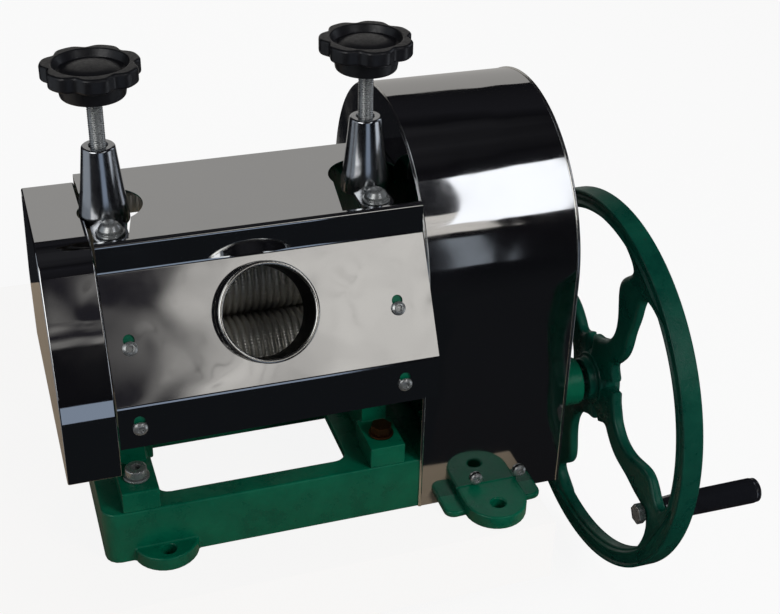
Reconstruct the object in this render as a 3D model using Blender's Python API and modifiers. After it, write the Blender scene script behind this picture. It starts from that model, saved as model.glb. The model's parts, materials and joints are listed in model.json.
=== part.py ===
"""Hand-cranked three-roller juice press on a cast base, with sheet covers, gear train and handwheel.

Frame: +X along the rollers towards the handwheel, -Y towards the feed tube, +Z up. The origin is on
the base's underside, below the middle of the right side frame.
"""
from math import asin, atan2, cos, pi, radians, sin, sqrt

import bmesh
import bpy
from mathutils import Matrix, Vector

MM = 0.001
GAP = 0.3 * MM                      # clearance between neighbouring pieces
ROUND = 24                          # sides of an ordinary round piece

# base
BASE_LEFT = -236 * MM
BASE_LENGTH = 369 * MM
BASE_DEPTH = 151 * MM
BASE_HEIGHT = 50 * MM
BASE_CORNER = 12 * MM
RAIL = 19.5 * MM                    # width of the front and back rails beside the juice opening
GEAR_RAIL = 12.5 * MM               # the same under the gear case
END_RAIL = 48 * MM                  # width of the left cross rail
MIDDLE_RAIL = 60 * MM               # width of the cross rail under the right side frame
EAR_RADIUS = 27 * MM
EAR_HEIGHT = 13 * MM
EAR_HOLE = 6 * MM
LEFT_EAR_X = -187 * MM
RIGHT_EAR_X = 90 * MM
LEFT_EAR_OUT = -7 * MM              # ear centre, outwards from the base's long face
RIGHT_EAR_OUT = 22.5 * MM
EAR_HOLE_OUT = 14 * MM              # hole centre, outwards from a left ear's centre

# side frames
FRAME_SPACING = 204.5 * MM          # between the middles of the two side frames
FRAME_PLATE = 22 * MM
FRAME_FOOT_WIDTH = 30 * MM
FRAME_FOOT_DEPTH = 39.5 * MM
FRAME_FOOT_HEIGHT = 19 * MM
FRAME_TOP_DROP = 12 * MM            # below the cover's top
FRAME_ARCH = 112 * MM               # height where the frame widens above its foot

# sheet covers
SHEET = 1.2 * MM
COVER_TOP = 284 * MM
COVER_TOP_DEPTH = 124 * MM
COVER_BULGE_DEPTH = 222 * MM
STRIP_HEIGHT = 23.5 * MM            # upright strip under the top
BULGE_TOP = 175 * MM
BULGE_BOTTOM = 139 * MM
OVERHANG_LEFT = 15.5 * MM           # from the left frame's middle to the cover's edge
OVERHANG_RIGHT = 27.5 * MM
CUTOUT_RADIUS = 29 * MM
NOTCH_LEFT = 13.5 * MM              # notch edge from the sleeve's middle, left and right cut-outs
NOTCH_RIGHT = 35 * MM
OUTLET_HEIGHT = 58 * MM
COVER_JOINT = 0.6 * MM              # between neighbouring covers
END_COVER_WIDTH = 40 * MM
END_COVER_DROP = 5 * MM
END_COVER_BOTTOM = 114 * MM
GEAR_COVER_WIDTH = 130.5 * MM
GEAR_COVER_RADIUS = 128.5 * MM
GEAR_SHEET = 1.5 * MM
SKIRT_LIFT = 1 * MM                 # gear cover's lower edge above the base's underside

# feed tube
TUBE_RADIUS = 38 * MM
TUBE_WALL = 2.4 * MM
TUBE_OUT = 17 * MM
TUBE_IN = 28 * MM
TUBE_DOWN = 43.8 * MM               # down the slanted panel from its upper edge

# rollers and their bearings
ROLLER_RADIUS = 33.5 * MM
ROLLER_SPREAD = 73 * MM             # between the two lower rollers
TOP_ROLLER_Z = 212 * MM
JOURNAL_RADIUS = 12 * MM
BUSH_WALL = 4 * MM
BLOCK_WIDTH = 40 * MM
BLOCK_HEIGHT = 36 * MM
PRESSURE_TRAVEL = 2 * MM

# gears: module, teeth and face width
ROLLER_MODULE = 2 * MM
ROLLER_TEETH = 34
DRIVE_TEETH = 33
LAY_TEETH = 16
BIG_MODULE = 2.5 * MM
BIG_TEETH = 97
PINION_TEETH = 26
GEAR_FACE = 18 * MM
TOOTH_WIDTH = 0.37                  # tooth thickness over pitch at the pitch circle, backlash taken off
SHAFT_RADIUS = 9 * MM
CRANK_Y = -36 * MM

# pressure screws
STUD_RADIUS = 6 * MM
SLEEVE_BASE = 19 * MM
SLEEVE_TIP = 13.5 * MM
SLEEVE_HEIGHT = 61 * MM
KNOB_TOP = 398 * MM
KNOB_RADIUS = 36 * MM
KNOB_RIM = 12.5 * MM
KNOB_LOBES = 7
LOBE_DEPTH = 4.5 * MM
COLLAR_RADIUS = 23.5 * MM
COLLAR_HEIGHT = 13.5 * MM
DISH_RADIUS = 26.5 * MM
DISH_DEPTH = 5 * MM

# handwheel
WHEEL_X = 208.4 * MM
WHEEL_RADIUS = 169 * MM
RIM_DEPTH = 20 * MM
RIM_WIDTH = 22 * MM
WEB = 12 * MM
SPOKES = 4
SPOKE_WIDTH = 34 * MM
HUB_FILLET = 34 * MM
RIM_FILLET = 9 * MM
SPOKE_ANGLE = radians(-26)          # first spoke, up from the front
HUB_RADIUS = 19 * MM
HUB_LENGTH = 27 * MM
HANDLE_RADIUS = 131 * MM            # from the crank's axis
HANDLE_ANGLE = radians(-29)
GRIP_RADIUS = 11 * MM
GRIP_LENGTH = 92 * MM

# fasteners
BOLT_RADIUS = 5 * MM
BOLT_HEAD = 9 * MM                  # across the corners, halved
BOLT_HEAD_HEIGHT = 7 * MM
WASHER_RADIUS = 10.5 * MM
WASHER = 2 * MM
SCREW_RADIUS = 2.9 * MM
SCREW_HEAD = 5.5 * MM
SCREW_HEAD_HEIGHT = 3 * MM
KEYHOLE = 5 * MM                    # wide end of a cover's slot, and how far above the screw it sits
KEYHOLE_RISE = 7 * MM
DOME_Y = -30 * MM
DOME_RADIUS = 10 * MM

# places worked out from the sizes above
FRAMES = {"left": -FRAME_SPACING, "right": 0.0}
BASE_RIGHT = BASE_LEFT + BASE_LENGTH
FRONT = -BASE_DEPTH / 2
COVER_LEFT = -FRAME_SPACING - OVERHANG_LEFT
CASE_LEFT = OVERHANG_RIGHT + COVER_JOINT
CASE_RIGHT = CASE_LEFT + GEAR_COVER_WIDTH
FRAME_TOP = COVER_TOP - FRAME_TOP_DROP
ROLLER_PITCH = ROLLER_MODULE * ROLLER_TEETH
LOWER_Y = ROLLER_SPREAD / 2
LOWER_Z = TOP_ROLLER_Z - sqrt(ROLLER_PITCH ** 2 - LOWER_Y ** 2)
CASE_Y = FRONT - GAP - GEAR_SHEET + GEAR_COVER_RADIUS
CASE_BACK = CASE_Y + GEAR_COVER_RADIUS - GEAR_SHEET - GAP
LAY_REACH = ROLLER_MODULE * (DRIVE_TEETH + LAY_TEETH) / 2
LAY_Z = LOWER_Z + sqrt(LAY_REACH ** 2 - (CASE_Y - LOWER_Y) ** 2)
CRANK_REACH = BIG_MODULE * (BIG_TEETH + PINION_TEETH) / 2
CRANK_Z = LAY_Z - sqrt(CRANK_REACH ** 2 - (CASE_Y - CRANK_Y) ** 2)
DRIVE_X = CASE_LEFT + GEAR_SHEET + 4 * MM      # left faces of the two gear planes in the case
BIG_X = DRIVE_X + GEAR_FACE + 10 * MM
BRACKET_X = BIG_X + GEAR_FACE + 12 * MM
BRACKET_WALL = 16 * MM
BOSS_RADIUS = SHAFT_RADIUS + BUSH_WALL + 8 * MM
HUB_START = WHEEL_X - WEB / 2 - 10 * MM
BOSS_END = HUB_START - 6 * MM
ROLLER_GEAR_X = COVER_LEFT - COVER_JOINT - 9 * MM - GEAR_FACE
PANEL_TOP_Y = COVER_TOP_DEPTH / 2
PANEL_TOP_Z = COVER_TOP - STRIP_HEIGHT
PANEL_SLANT = atan2(COVER_BULGE_DEPTH / 2 - PANEL_TOP_Y, PANEL_TOP_Z - BULGE_TOP)
FRAME_BOLT_Y = BASE_DEPTH / 2 - FRAME_FOOT_DEPTH / 2
BASE_TOP = BASE_HEIGHT + GAP
FOOT_TOP = BASE_TOP + FRAME_FOOT_HEIGHT
HANDLE_Y = CRANK_Y - HANDLE_RADIUS * cos(HANDLE_ANGLE)
HANDLE_Z = CRANK_Z + HANDLE_RADIUS * sin(HANDLE_ANGLE)

ALONG_X = Matrix.Rotation(pi / 2, 4, "Z") @ Matrix.Rotation(pi / 2, 4, "X")   # local XY to world YZ


def clear_scene():
    for thing in list(bpy.data.objects):
        bpy.data.objects.remove(thing, do_unlink=True)


def new_collection(name):
    group = bpy.data.collections.new(name)
    bpy.context.scene.collection.children.link(group)
    return group


def material(name, color, roughness, metallic):
    made = bpy.data.materials.new(name)
    made.use_nodes = True
    shader = made.node_tree.nodes["Principled BSDF"]
    shader.inputs["Base Color"].default_value = (*color, 1)
    shader.inputs["Roughness"].default_value = roughness
    shader.inputs["Metallic"].default_value = metallic
    return made


# ---- shapes -------------------------------------------------------------------------------------

def arc(centre, radius, start, end, steps):
    return [(centre[0] + radius * cos(start + (end - start) * i / steps),
             centre[1] + radius * sin(start + (end - start) * i / steps)) for i in range(steps + 1)]


def circle(centre, radius, sides=ROUND):
    return arc(centre, radius, 0, 2 * pi, sides)[:-1]


def rounded(corners, steps=4):
    """Closed outline whose corners (x, y, radius) become arcs tangent to both sides."""
    outline = []
    for i, (x, y, radius) in enumerate(corners):
        corner = Vector((x, y))
        if radius == 0:
            outline.append((x, y))
            continue
        before = (Vector(corners[i - 1][:2]) - corner).normalized()
        after = (Vector(corners[(i + 1) % len(corners)][:2]) - corner).normalized()
        half = before.angle(after) / 2
        centre = corner + (before + after).normalized() * radius / sin(half)
        first = corner + before * radius / (sin(half) / cos(half)) - centre
        turn = -first.angle_signed(corner + after * radius / (sin(half) / cos(half)) - centre)
        start = atan2(first.y, first.x)
        outline += arc(centre, radius, start, start + turn, steps)
    return outline


def box_outline(x0, x1, y0, y1, radius=0):
    return rounded([(x0, y0, radius), (x1, y0, radius), (x1, y1, radius), (x0, y1, radius)])


def inset(path, distance):
    """Path moved sideways: to the left of its direction when distance is positive."""
    points = [Vector(p) for p in path]
    sides = [(b - a).normalized() for a, b in zip(points, points[1:])]
    normals = [Vector((-s.y, s.x)) for s in sides]
    moved = [points[0] + normals[0] * distance]
    for point, before, after in zip(points[1:], normals, normals[1:]):
        middle = (before + after).normalized()
        moved.append(point + middle * distance / middle.dot(before))
    moved.append(points[-1] + normals[-1] * distance)
    return [tuple(p) for p in moved]


def place(mesh, name, matrix, finish):
    piece = bpy.data.objects.new(name, mesh)
    piece.matrix_world = matrix
    if finish is None:
        piece.hide_render = True
        piece.display_type = "WIRE"
        CUTTERS.objects.link(piece)
    else:
        mesh.materials.clear()
        mesh.materials.append(FINISHES[finish])
        PARTS.objects.link(piece)
    return piece


def plate(name, outlines, thickness, matrix, finish):
    """Flat outline (the first) with holes (the rest), standing on the matrix's XY plane."""
    curve = bpy.data.curves.new(name, "CURVE")
    curve.dimensions = "2D"
    curve.fill_mode = "BOTH"
    curve.extrude = thickness / 2
    for outline in outlines:
        spline = curve.splines.new("POLY")
        spline.points.add(len(outline) - 1)
        spline.use_cyclic_u = True
        for point, (x, y) in zip(spline.points, outline):
            point.co = (x, y, 0, 1)
    holder = bpy.data.objects.new(name + "_outline", curve)
    bpy.context.scene.collection.objects.link(holder)
    graph = bpy.context.evaluated_depsgraph_get()
    mesh = bpy.data.meshes.new_from_object(holder.evaluated_get(graph))
    bpy.data.objects.remove(holder, do_unlink=True)
    bpy.data.curves.remove(curve)
    work = bmesh.new()
    work.from_mesh(mesh)
    bmesh.ops.translate(work, vec=(0, 0, thickness / 2), verts=work.verts)
    bmesh.ops.remove_doubles(work, verts=work.verts, dist=1e-6)
    bmesh.ops.recalc_face_normals(work, faces=work.faces)
    work.to_mesh(mesh)
    work.free()
    mesh.name = name
    return place(mesh, name, matrix, finish)


def slab(name, outlines, x0, x1, finish):
    """Plate whose outlines are in (y, z), reaching from x0 to x1."""
    return plate(name, outlines, x1 - x0, Matrix.Translation((x0, 0, 0)) @ ALONG_X, finish)


def deck(name, outlines, z0, z1, finish):
    """Plate whose outlines are in (x, y), reaching from z0 to z1."""
    return plate(name, outlines, z1 - z0, Matrix.Translation((0, 0, z0)), finish)


def turned(name, profile, matrix, finish, sides=ROUND):
    """Solid of revolution about the matrix's Z axis; profile is (radius, height) from the top down."""
    mesh = bpy.data.meshes.new(name)
    edges = [(i, i + 1) for i in range(len(profile) - 1)]
    if profile[0][0] > 0:
        edges.append((len(profile) - 1, 0))
    mesh.from_pydata([(r, 0, z) for r, z in profile], edges, [])
    piece = place(mesh, name, matrix, finish)
    screw = piece.modifiers.new("Turn", "SCREW")
    screw.steps = screw.render_steps = sides
    screw.use_merge_vertices = True
    screw.merge_threshold = 1e-6
    screw.use_smooth_shade = False
    return piece


def upright(x, y, z=0.0):
    return Matrix.Translation((x, y, z))


def lying(x, y, z):
    """Turning axis along +X from x."""
    return Matrix.Translation((x, y, z)) @ Matrix.Rotation(pi / 2, 4, "Y")


def rod(radius, low, high):
    return [(0, high), (radius, high), (radius, low), (0, low)]


def ring(outer, inner, low, high):
    return [(outer, high), (outer, low), (inner, low), (inner, high)]


def join(piece, other, how):
    """Boolean of two solids; a union's second solid is used up as a cutter."""
    step = piece.modifiers.new(how.title(), "BOOLEAN")
    step.operation = how
    step.solver = "EXACT"
    step.object = other
    return piece


def hole(piece, profile, matrix, sides=ROUND):
    return join(piece, turned(piece.name + "_hole", profile, matrix, None, sides), "DIFFERENCE")


# ---- gears --------------------------------------------------------------------------------------

def gear_outline(teeth, module, phase, centre):
    """Straight-flanked teeth; the first tooth's middle is at the phase angle."""
    pitch = 2 * pi / teeth
    radius = module * teeth / 2
    points = []
    for i in range(teeth):
        middle = phase + i * pitch
        for share, reach in ((-0.9, -1.15), (-0.32, 0.85), (0.32, 0.85), (0.9, -1.15)):
            angle = middle + share * TOOTH_WIDTH * pitch
            points.append((centre[0] + (radius + reach * module) * cos(angle),
                           centre[1] + (radius + reach * module) * sin(angle)))
    return points


def meshed_phase(phase, teeth, other_teeth, direction):
    """Phase of the gear that meshes with this one; direction points from this centre to the other."""
    return direction + pi - (phase - direction) * teeth / other_teeth + pi / other_teeth


def direction(start, end):
    return atan2(end[1] - start[1], end[0] - start[0])


def gear(name, teeth, module, phase, centre, x, bore):
    return slab(name, [gear_outline(teeth, module, phase, centre), circle(centre, bore + GAP)],
                x, x + GEAR_FACE, "gear steel")


# ---- the base -----------------------------------------------------------------------------------

def ear(x, side, face, out, name):
    """Half-round foot on the long face at y = face; side is -1 at the front and 1 at the back."""
    middle = face + side * out
    inner = face - side * (5 * MM - min(out, 0))
    bend = arc((x, middle), EAR_RADIUS, 0, side * pi, 16)
    outline = [(x + EAR_RADIUS, inner)] + bend + [(x - EAR_RADIUS, inner)]
    return deck(name, [outline], 0, EAR_HEIGHT, None)


def make_base():
    step = CASE_LEFT - 8 * MM
    outline = rounded([
        (BASE_LEFT, FRONT, BASE_CORNER), (BASE_RIGHT, FRONT, BASE_CORNER),
        (BASE_RIGHT, CASE_BACK, BASE_CORNER), (step, CASE_BACK, BASE_CORNER),
        (step, -FRONT, BASE_CORNER), (BASE_LEFT, -FRONT, BASE_CORNER)])
    juice_hole = box_outline(BASE_LEFT + END_RAIL, -MIDDLE_RAIL / 2, FRONT + RAIL, -FRONT - RAIL, 10 * MM)
    pit = box_outline(MIDDLE_RAIL / 2 + 4 * MM, BRACKET_X - 6 * MM, FRONT + GEAR_RAIL,
                      CASE_BACK - GEAR_RAIL, 8 * MM)
    base = deck("base_casting", [outline, juice_hole, pit], 0, BASE_HEIGHT, "green enamel")
    ears = ((LEFT_EAR_X, -1, FRONT, LEFT_EAR_OUT), (LEFT_EAR_X, 1, -FRONT, LEFT_EAR_OUT),
            (RIGHT_EAR_X, -1, FRONT, RIGHT_EAR_OUT), (RIGHT_EAR_X, 1, CASE_BACK, RIGHT_EAR_OUT))
    for i, (x, side, face, out) in enumerate(ears):
        join(base, ear(x, side, face, out, f"ear_{i}"), "UNION")
    for x, side, face, out in ears:
        hole(base, rod(EAR_HOLE, -1 * MM, EAR_HEIGHT + 1 * MM),
             upright(x, face + side * (out + (EAR_HOLE_OUT if out < 0 else 7 * MM))), 24)
    for frame_x in FRAMES.values():
        for side in (-1, 1):
            hole(base, rod(BOLT_RADIUS + GAP, BASE_HEIGHT - 26 * MM, BASE_HEIGHT + 1 * MM),
                 upright(frame_x, side * FRAME_BOLT_Y), 12)
    for y in BRACKET_BOLTS:
        hole(base, rod(BOLT_RADIUS + GAP, BASE_HEIGHT - 26 * MM, BASE_HEIGHT + 1 * MM),
             upright(BRACKET_BOLT_X, y), 16)
    for x in SKIRT_SCREWS:
        hole(base, rod(SCREW_RADIUS + GAP, -1 * MM, 11 * MM), skirt_screw_place(x, FRONT), 12)


# ---- side frames --------------------------------------------------------------------------------

def cover_profile():
    """Outer half profile of the main cover in (y, z), from the front strip's foot to the top."""
    return [(-COVER_BULGE_DEPTH / 2, BULGE_BOTTOM), (-COVER_BULGE_DEPTH / 2, BULGE_TOP),
            (-PANEL_TOP_Y, PANEL_TOP_Z), (-PANEL_TOP_Y, COVER_TOP)]


def panel_point(down, out):
    """Point (y, z) down the front slanted panel from its upper edge and out from its face."""
    return (-PANEL_TOP_Y - down * sin(PANEL_SLANT) - out * cos(PANEL_SLANT),
            PANEL_TOP_Z - down * cos(PANEL_SLANT) + out * sin(PANEL_SLANT))


def panel_place(x, down):
    """Matrix at the panel's outer face, its Z axis pointing outwards."""
    y, z = panel_point(down, 0)
    return Matrix.Translation((x, y, z)) @ Matrix.Rotation(pi / 2 - PANEL_SLANT, 4, "X")


def strip_place(x, z):
    return Matrix.Translation((x, -COVER_BULGE_DEPTH / 2, z)) @ Matrix.Rotation(pi / 2, 4, "X")


def skirt_screw_place(x, y):
    return Matrix.Translation((x, y, SKIRT_SCREW_Z)) @ Matrix.Rotation(-pi / 2, 4, "X")


def cover_screw_places():
    places = []
    for side, x in FRAMES.items():
        places.append((f"panel_screw_{side}", panel_place(x, PANEL_SCREW_DOWN)))
        places.append((f"strip_screw_{side}", strip_place(x, STRIP_SCREW_Z)))
    return places


def make_side_frame(side, x):
    front = [p for p in inset(cover_profile(), -(SHEET + GAP))[:3]]
    front.append((front[-1][0], FRAME_TOP))
    foot = [(FRONT + FRAME_FOOT_DEPTH, BASE_TOP + 1 * MM), (FRONT + FRAME_FOOT_DEPTH, FRAME_ARCH),
            (front[0][0], BULGE_BOTTOM + 4 * MM)]
    half = foot + front[1:]
    outline = half + [(-y, z) for y, z in reversed(half)]
    window = box_outline(-BLOCK_WIDTH / 2 - GAP, BLOCK_WIDTH / 2 + GAP,
                         TOP_ROLLER_Z - BLOCK_HEIGHT / 2 - GAP,
                         TOP_ROLLER_Z + BLOCK_HEIGHT / 2 + PRESSURE_TRAVEL + GAP)
    holes = [window]
    holes += [circle((y, LOWER_Z), JOURNAL_RADIUS + BUSH_WALL + GAP) for y in (-LOWER_Y, LOWER_Y)]
    if side == "right":
        holes.append(circle((CASE_Y, LAY_Z), SHAFT_RADIUS + BUSH_WALL + GAP))
    frame = slab(f"{side}_side_frame", [outline] + holes, x - FRAME_PLATE / 2, x + FRAME_PLATE / 2,
                 "green enamel")
    reach = FRAME_FOOT_DEPTH + 4 * MM
    for y0, y1 in ((FRONT, FRONT + reach), (-FRONT - reach, -FRONT)):
        pad = deck("pad", [box_outline(x - FRAME_FOOT_WIDTH / 2, x + FRAME_FOOT_WIDTH / 2, y0, y1)],
                   BASE_TOP, FOOT_TOP, None)
        join(frame, pad, "UNION")
    for y in (-FRAME_BOLT_Y, FRAME_BOLT_Y):
        hole(frame, rod(BOLT_RADIUS + GAP, BASE_TOP - 1 * MM, FOOT_TOP + 1 * MM), upright(x, y), 16)
    hole(frame, rod(STUD_RADIUS + GAP, TOP_ROLLER_Z, FRAME_TOP + 1 * MM), upright(x, 0), 20)
    hole(frame, rod(BOLT_RADIUS + GAP, FRAME_TOP - 16 * MM, FRAME_TOP + 1 * MM), upright(x, DOME_Y), 16)
    for name, matrix in cover_screw_places():
        if name.endswith(side):
            hole(frame, rod(SCREW_RADIUS + GAP, -15 * MM, 2 * MM), matrix, 12)
    for y, number in ((-FRAME_BOLT_Y, "front"), (FRAME_BOLT_Y, "back")):
        turned(f"frame_washer_{side}_{number}", ring(WASHER_RADIUS, BOLT_RADIUS + GAP, 0, WASHER),
               upright(x, y, FOOT_TOP + GAP), "zinc")
        hex_bolt(f"frame_bolt_{side}_{number}", upright(x, y, FOOT_TOP + WASHER + 2 * GAP), 40 * MM)


def hex_bolt(name, matrix, length):
    """Hexagon head standing on the matrix's XY plane, with its shank below."""
    head = [(BOLT_HEAD * cos(i * pi / 3), BOLT_HEAD * sin(i * pi / 3)) for i in range(6)]
    bolt = plate(name, [head], BOLT_HEAD_HEIGHT, matrix, "zinc")
    shank = turned(name + "_shank", rod(BOLT_RADIUS, -length, BOLT_HEAD_HEIGHT / 2), matrix, None, 16)
    join(bolt, shank, "UNION")


# ---- rollers and bearings -----------------------------------------------------------------------

def roller(name, y, z, right_end):
    """Drum turned in one with its journals; the left journal carries the roller gear."""
    left_face = -FRAME_SPACING + FRAME_PLATE / 2 + 2 * GAP
    right_face = -FRAME_PLATE / 2 - 2 * GAP
    left_end = ROLLER_GEAR_X - 3 * MM
    lip = 1.5 * MM
    profile = [(0, right_end), (JOURNAL_RADIUS, right_end), (JOURNAL_RADIUS, right_face),
               (ROLLER_RADIUS - lip, right_face), (ROLLER_RADIUS, right_face - lip),
               (ROLLER_RADIUS, left_face + lip), (ROLLER_RADIUS - lip, left_face),
               (JOURNAL_RADIUS, left_face), (JOURNAL_RADIUS, left_end), (0, left_end)]
    turned(name, profile, lying(0, y, z), "roller steel", 36)


def make_rollers():
    short = FRAME_PLATE / 2 + 3 * MM
    roller("top_roller", 0, TOP_ROLLER_Z, short)
    roller("front_roller", -LOWER_Y, LOWER_Z, short)
    roller("rear_roller", LOWER_Y, LOWER_Z, DRIVE_X + GEAR_FACE + 2 * MM)
    for side, x in FRAMES.items():
        for where, y in (("front", -LOWER_Y), ("rear", LOWER_Y)):
            turned(f"{where}_bush_{side}",
                   ring(JOURNAL_RADIUS + BUSH_WALL, JOURNAL_RADIUS + GAP, -FRAME_PLATE / 2, FRAME_PLATE / 2),
                   lying(x, y, LOWER_Z), "bronze")
        block = box_outline(-BLOCK_WIDTH / 2, BLOCK_WIDTH / 2, TOP_ROLLER_Z - BLOCK_HEIGHT / 2,
                            TOP_ROLLER_Z + BLOCK_HEIGHT / 2)
        slab(f"bearing_block_{side}", [block, circle((0, TOP_ROLLER_Z), JOURNAL_RADIUS + GAP)],
             x - FRAME_PLATE / 2, x + FRAME_PLATE / 2, "bronze")


def make_gears():
    top, front, rear = (0, TOP_ROLLER_Z), (-LOWER_Y, LOWER_Z), (LOWER_Y, LOWER_Z)
    lay, crank = (CASE_Y, LAY_Z), (CRANK_Y, CRANK_Z)
    phase = direction(crank, lay)
    gear("crank_pinion", PINION_TEETH, BIG_MODULE, phase, crank, BIG_X, SHAFT_RADIUS)
    phase = meshed_phase(phase, PINION_TEETH, BIG_TEETH, direction(crank, lay))
    gear("big_gear", BIG_TEETH, BIG_MODULE, phase, lay, BIG_X, SHAFT_RADIUS)
    phase = direction(lay, rear)
    gear("lay_pinion", LAY_TEETH, ROLLER_MODULE, phase, lay, DRIVE_X, SHAFT_RADIUS)
    phase = meshed_phase(phase, LAY_TEETH, DRIVE_TEETH, direction(lay, rear))
    gear("drive_gear", DRIVE_TEETH, ROLLER_MODULE, phase, rear, DRIVE_X, JOURNAL_RADIUS)
    phase = direction(rear, top)
    gear("rear_roller_gear", ROLLER_TEETH, ROLLER_MODULE, phase, rear, ROLLER_GEAR_X, JOURNAL_RADIUS)
    phase = meshed_phase(phase, ROLLER_TEETH, ROLLER_TEETH, direction(rear, top))
    gear("top_roller_gear", ROLLER_TEETH, ROLLER_MODULE, phase, top, ROLLER_GEAR_X, JOURNAL_RADIUS)
    phase = meshed_phase(phase, ROLLER_TEETH, ROLLER_TEETH, direction(top, front))
    gear("front_roller_gear", ROLLER_TEETH, ROLLER_MODULE, phase, front, ROLLER_GEAR_X, JOURNAL_RADIUS)


def make_shafts():
    bracket_end = BRACKET_X + BRACKET_WALL
    turned("layshaft", rod(SHAFT_RADIUS, -FRAME_PLATE / 2, bracket_end + 3 * MM),
           lying(0, CASE_Y, LAY_Z), "shaft steel")
    thread_end = WHEEL_X + WEB / 2 + 24 * MM
    turned("crank_shaft", rod(SHAFT_RADIUS, BIG_X - 4 * MM, thread_end),
           lying(0, CRANK_Y, CRANK_Z), "shaft steel")
    bush = ring(SHAFT_RADIUS + BUSH_WALL, SHAFT_RADIUS + GAP, 0, BRACKET_WALL)
    turned("layshaft_bush_left",
           ring(SHAFT_RADIUS + BUSH_WALL, SHAFT_RADIUS + GAP, -FRAME_PLATE / 2, FRAME_PLATE / 2),
           lying(0, CASE_Y, LAY_Z), "bronze")
    turned("layshaft_bush_right", bush, lying(BRACKET_X, CASE_Y, LAY_Z), "bronze")
    turned("crank_bush_inner", bush, lying(BRACKET_X, CRANK_Y, CRANK_Z), "bronze")
    turned("crank_bush_outer", bush, lying(BOSS_END - BRACKET_WALL, CRANK_Y, CRANK_Z), "bronze")


def make_bracket():
    """Outboard casting that carries the layshaft's right end and both of the crank's bushes."""
    half = 29 * MM
    outline = rounded([
        (FRONT + 8 * MM, BASE_TOP, 0), (BRACKET_BACK, BASE_TOP, 0), (BRACKET_BACK, BASE_TOP + 40 * MM, 20 * MM),
        (CASE_Y + half, LAY_Z + half, 20 * MM), (CASE_Y - half, LAY_Z + half, 20 * MM),
        (FRONT + 8 * MM, CRANK_Z + half, 20 * MM)])
    bush = SHAFT_RADIUS + BUSH_WALL + GAP
    bracket = slab("gear_bracket", [outline, circle((CASE_Y, LAY_Z), bush)],
                   BRACKET_X, BRACKET_X + BRACKET_WALL, "green enamel")
    foot = deck("bracket_foot", [box_outline(BRACKET_X - 4 * MM, BASE_RIGHT - 3 * MM, 0, BRACKET_BACK)],
                BASE_TOP, BASE_TOP + 10 * MM, None)
    join(bracket, foot, "UNION")
    boss = turned("crank_boss", rod(BOSS_RADIUS, BRACKET_X + 2 * MM, BOSS_END),
                  lying(0, CRANK_Y, CRANK_Z), None)
    join(bracket, boss, "UNION")
    hole(bracket, rod(bush, BRACKET_X - 1 * MM, BOSS_END + 1 * MM), lying(0, CRANK_Y, CRANK_Z))
    for i, y in enumerate(BRACKET_BOLTS):
        hole(bracket, rod(BOLT_RADIUS + GAP, BASE_HEIGHT - 1 * MM, BASE_HEIGHT + 12 * MM),
             upright(BRACKET_BOLT_X, y), 16)
        hex_bolt(f"bracket_bolt_{i + 1}", upright(BRACKET_BOLT_X, y, BASE_TOP + 10 * MM + GAP), 30 * MM)


# ---- covers -------------------------------------------------------------------------------------

def bent_sheet(name, profile, x0, x1, thickness, finish):
    """Sheet bent to an open profile in (y, z), its outside on the profile's left."""
    mesh = bpy.data.meshes.new(name)
    work = bmesh.new()
    row = [work.verts.new((x0, y, z)) for y, z in profile]
    other = [work.verts.new((x1, y, z)) for y, z in profile]
    for i in range(len(profile) - 1):
        work.faces.new((row[i], other[i], other[i + 1], row[i + 1]))
    work.to_mesh(mesh)
    work.free()
    piece = place(mesh, name, Matrix.Identity(4), finish)
    wall = piece.modifiers.new("Wall", "SOLIDIFY")
    wall.thickness = thickness
    wall.offset = -1
    wall.use_even_offset = True
    return piece


def make_main_cover():
    half = cover_profile()
    profile = half + [(-y, z) for y, z in reversed(half)]
    cover = bent_sheet("main_cover", profile, COVER_LEFT, OVERHANG_RIGHT, SHEET, "polished steel")
    hole(cover, rod(TUBE_RADIUS + GAP, -20 * MM, 20 * MM), panel_place(TUBE_X, TUBE_DOWN), 48)
    for side, x in FRAMES.items():
        hole(cover, rod(CUTOUT_RADIUS, COVER_TOP - 8 * MM, COVER_TOP + 5 * MM), upright(x, 0), 40)
        span = (COVER_LEFT - 5 * MM, x + NOTCH_LEFT) if side == "left" else (x - NOTCH_RIGHT,
                                                                             OVERHANG_RIGHT + 5 * MM)
        notch = deck("notch", [box_outline(*span, -PANEL_TOP_Y + 5 * MM, 0)],
                     COVER_TOP - 6 * MM, COVER_TOP + 5 * MM, None)
        join(cover, notch, "DIFFERENCE")
    for name, matrix in cover_screw_places():
        slot = plate(name + "_slot", [keyhole()], 12 * MM, matrix @ Matrix.Translation((0, 0, -6 * MM)), None)
        join(cover, slot, "DIFFERENCE")
        pan_screw(name, matrix, 12 * MM)
    outlet_low = BULGE_TOP + 4 * MM
    outlet = deck("outlet", [box_outline(-FRAME_SPACING + 26 * MM, -26 * MM, PANEL_TOP_Y, COVER_BULGE_DEPTH)],
                  outlet_low, outlet_low + OUTLET_HEIGHT, None)
    join(cover, outlet, "DIFFERENCE")


def keyhole():
    """Slot outline: the screw's clearance at the origin, opening upwards into the wide end."""
    narrow = SCREW_RADIUS + 2 * GAP
    lift = sqrt(KEYHOLE ** 2 - narrow ** 2)
    start = atan2(-lift, narrow)
    wide = arc((0, KEYHOLE_RISE), KEYHOLE, start, pi - start, 16)
    return wide + arc((0, 0), narrow, pi, 2 * pi, 8)


def pan_screw(name, matrix, length):
    """Pan head standing on the matrix's XY plane, with its shank going in."""
    crown = SCREW_HEAD * 0.75
    profile = [(0, SCREW_HEAD_HEIGHT + GAP), (crown, SCREW_HEAD_HEIGHT + GAP),
               (SCREW_HEAD, SCREW_HEAD_HEIGHT / 2), (SCREW_HEAD, GAP), (SCREW_RADIUS, GAP),
               (SCREW_RADIUS, -length), (0, -length)]
    turned(name, profile, matrix, "zinc", 16)


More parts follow.
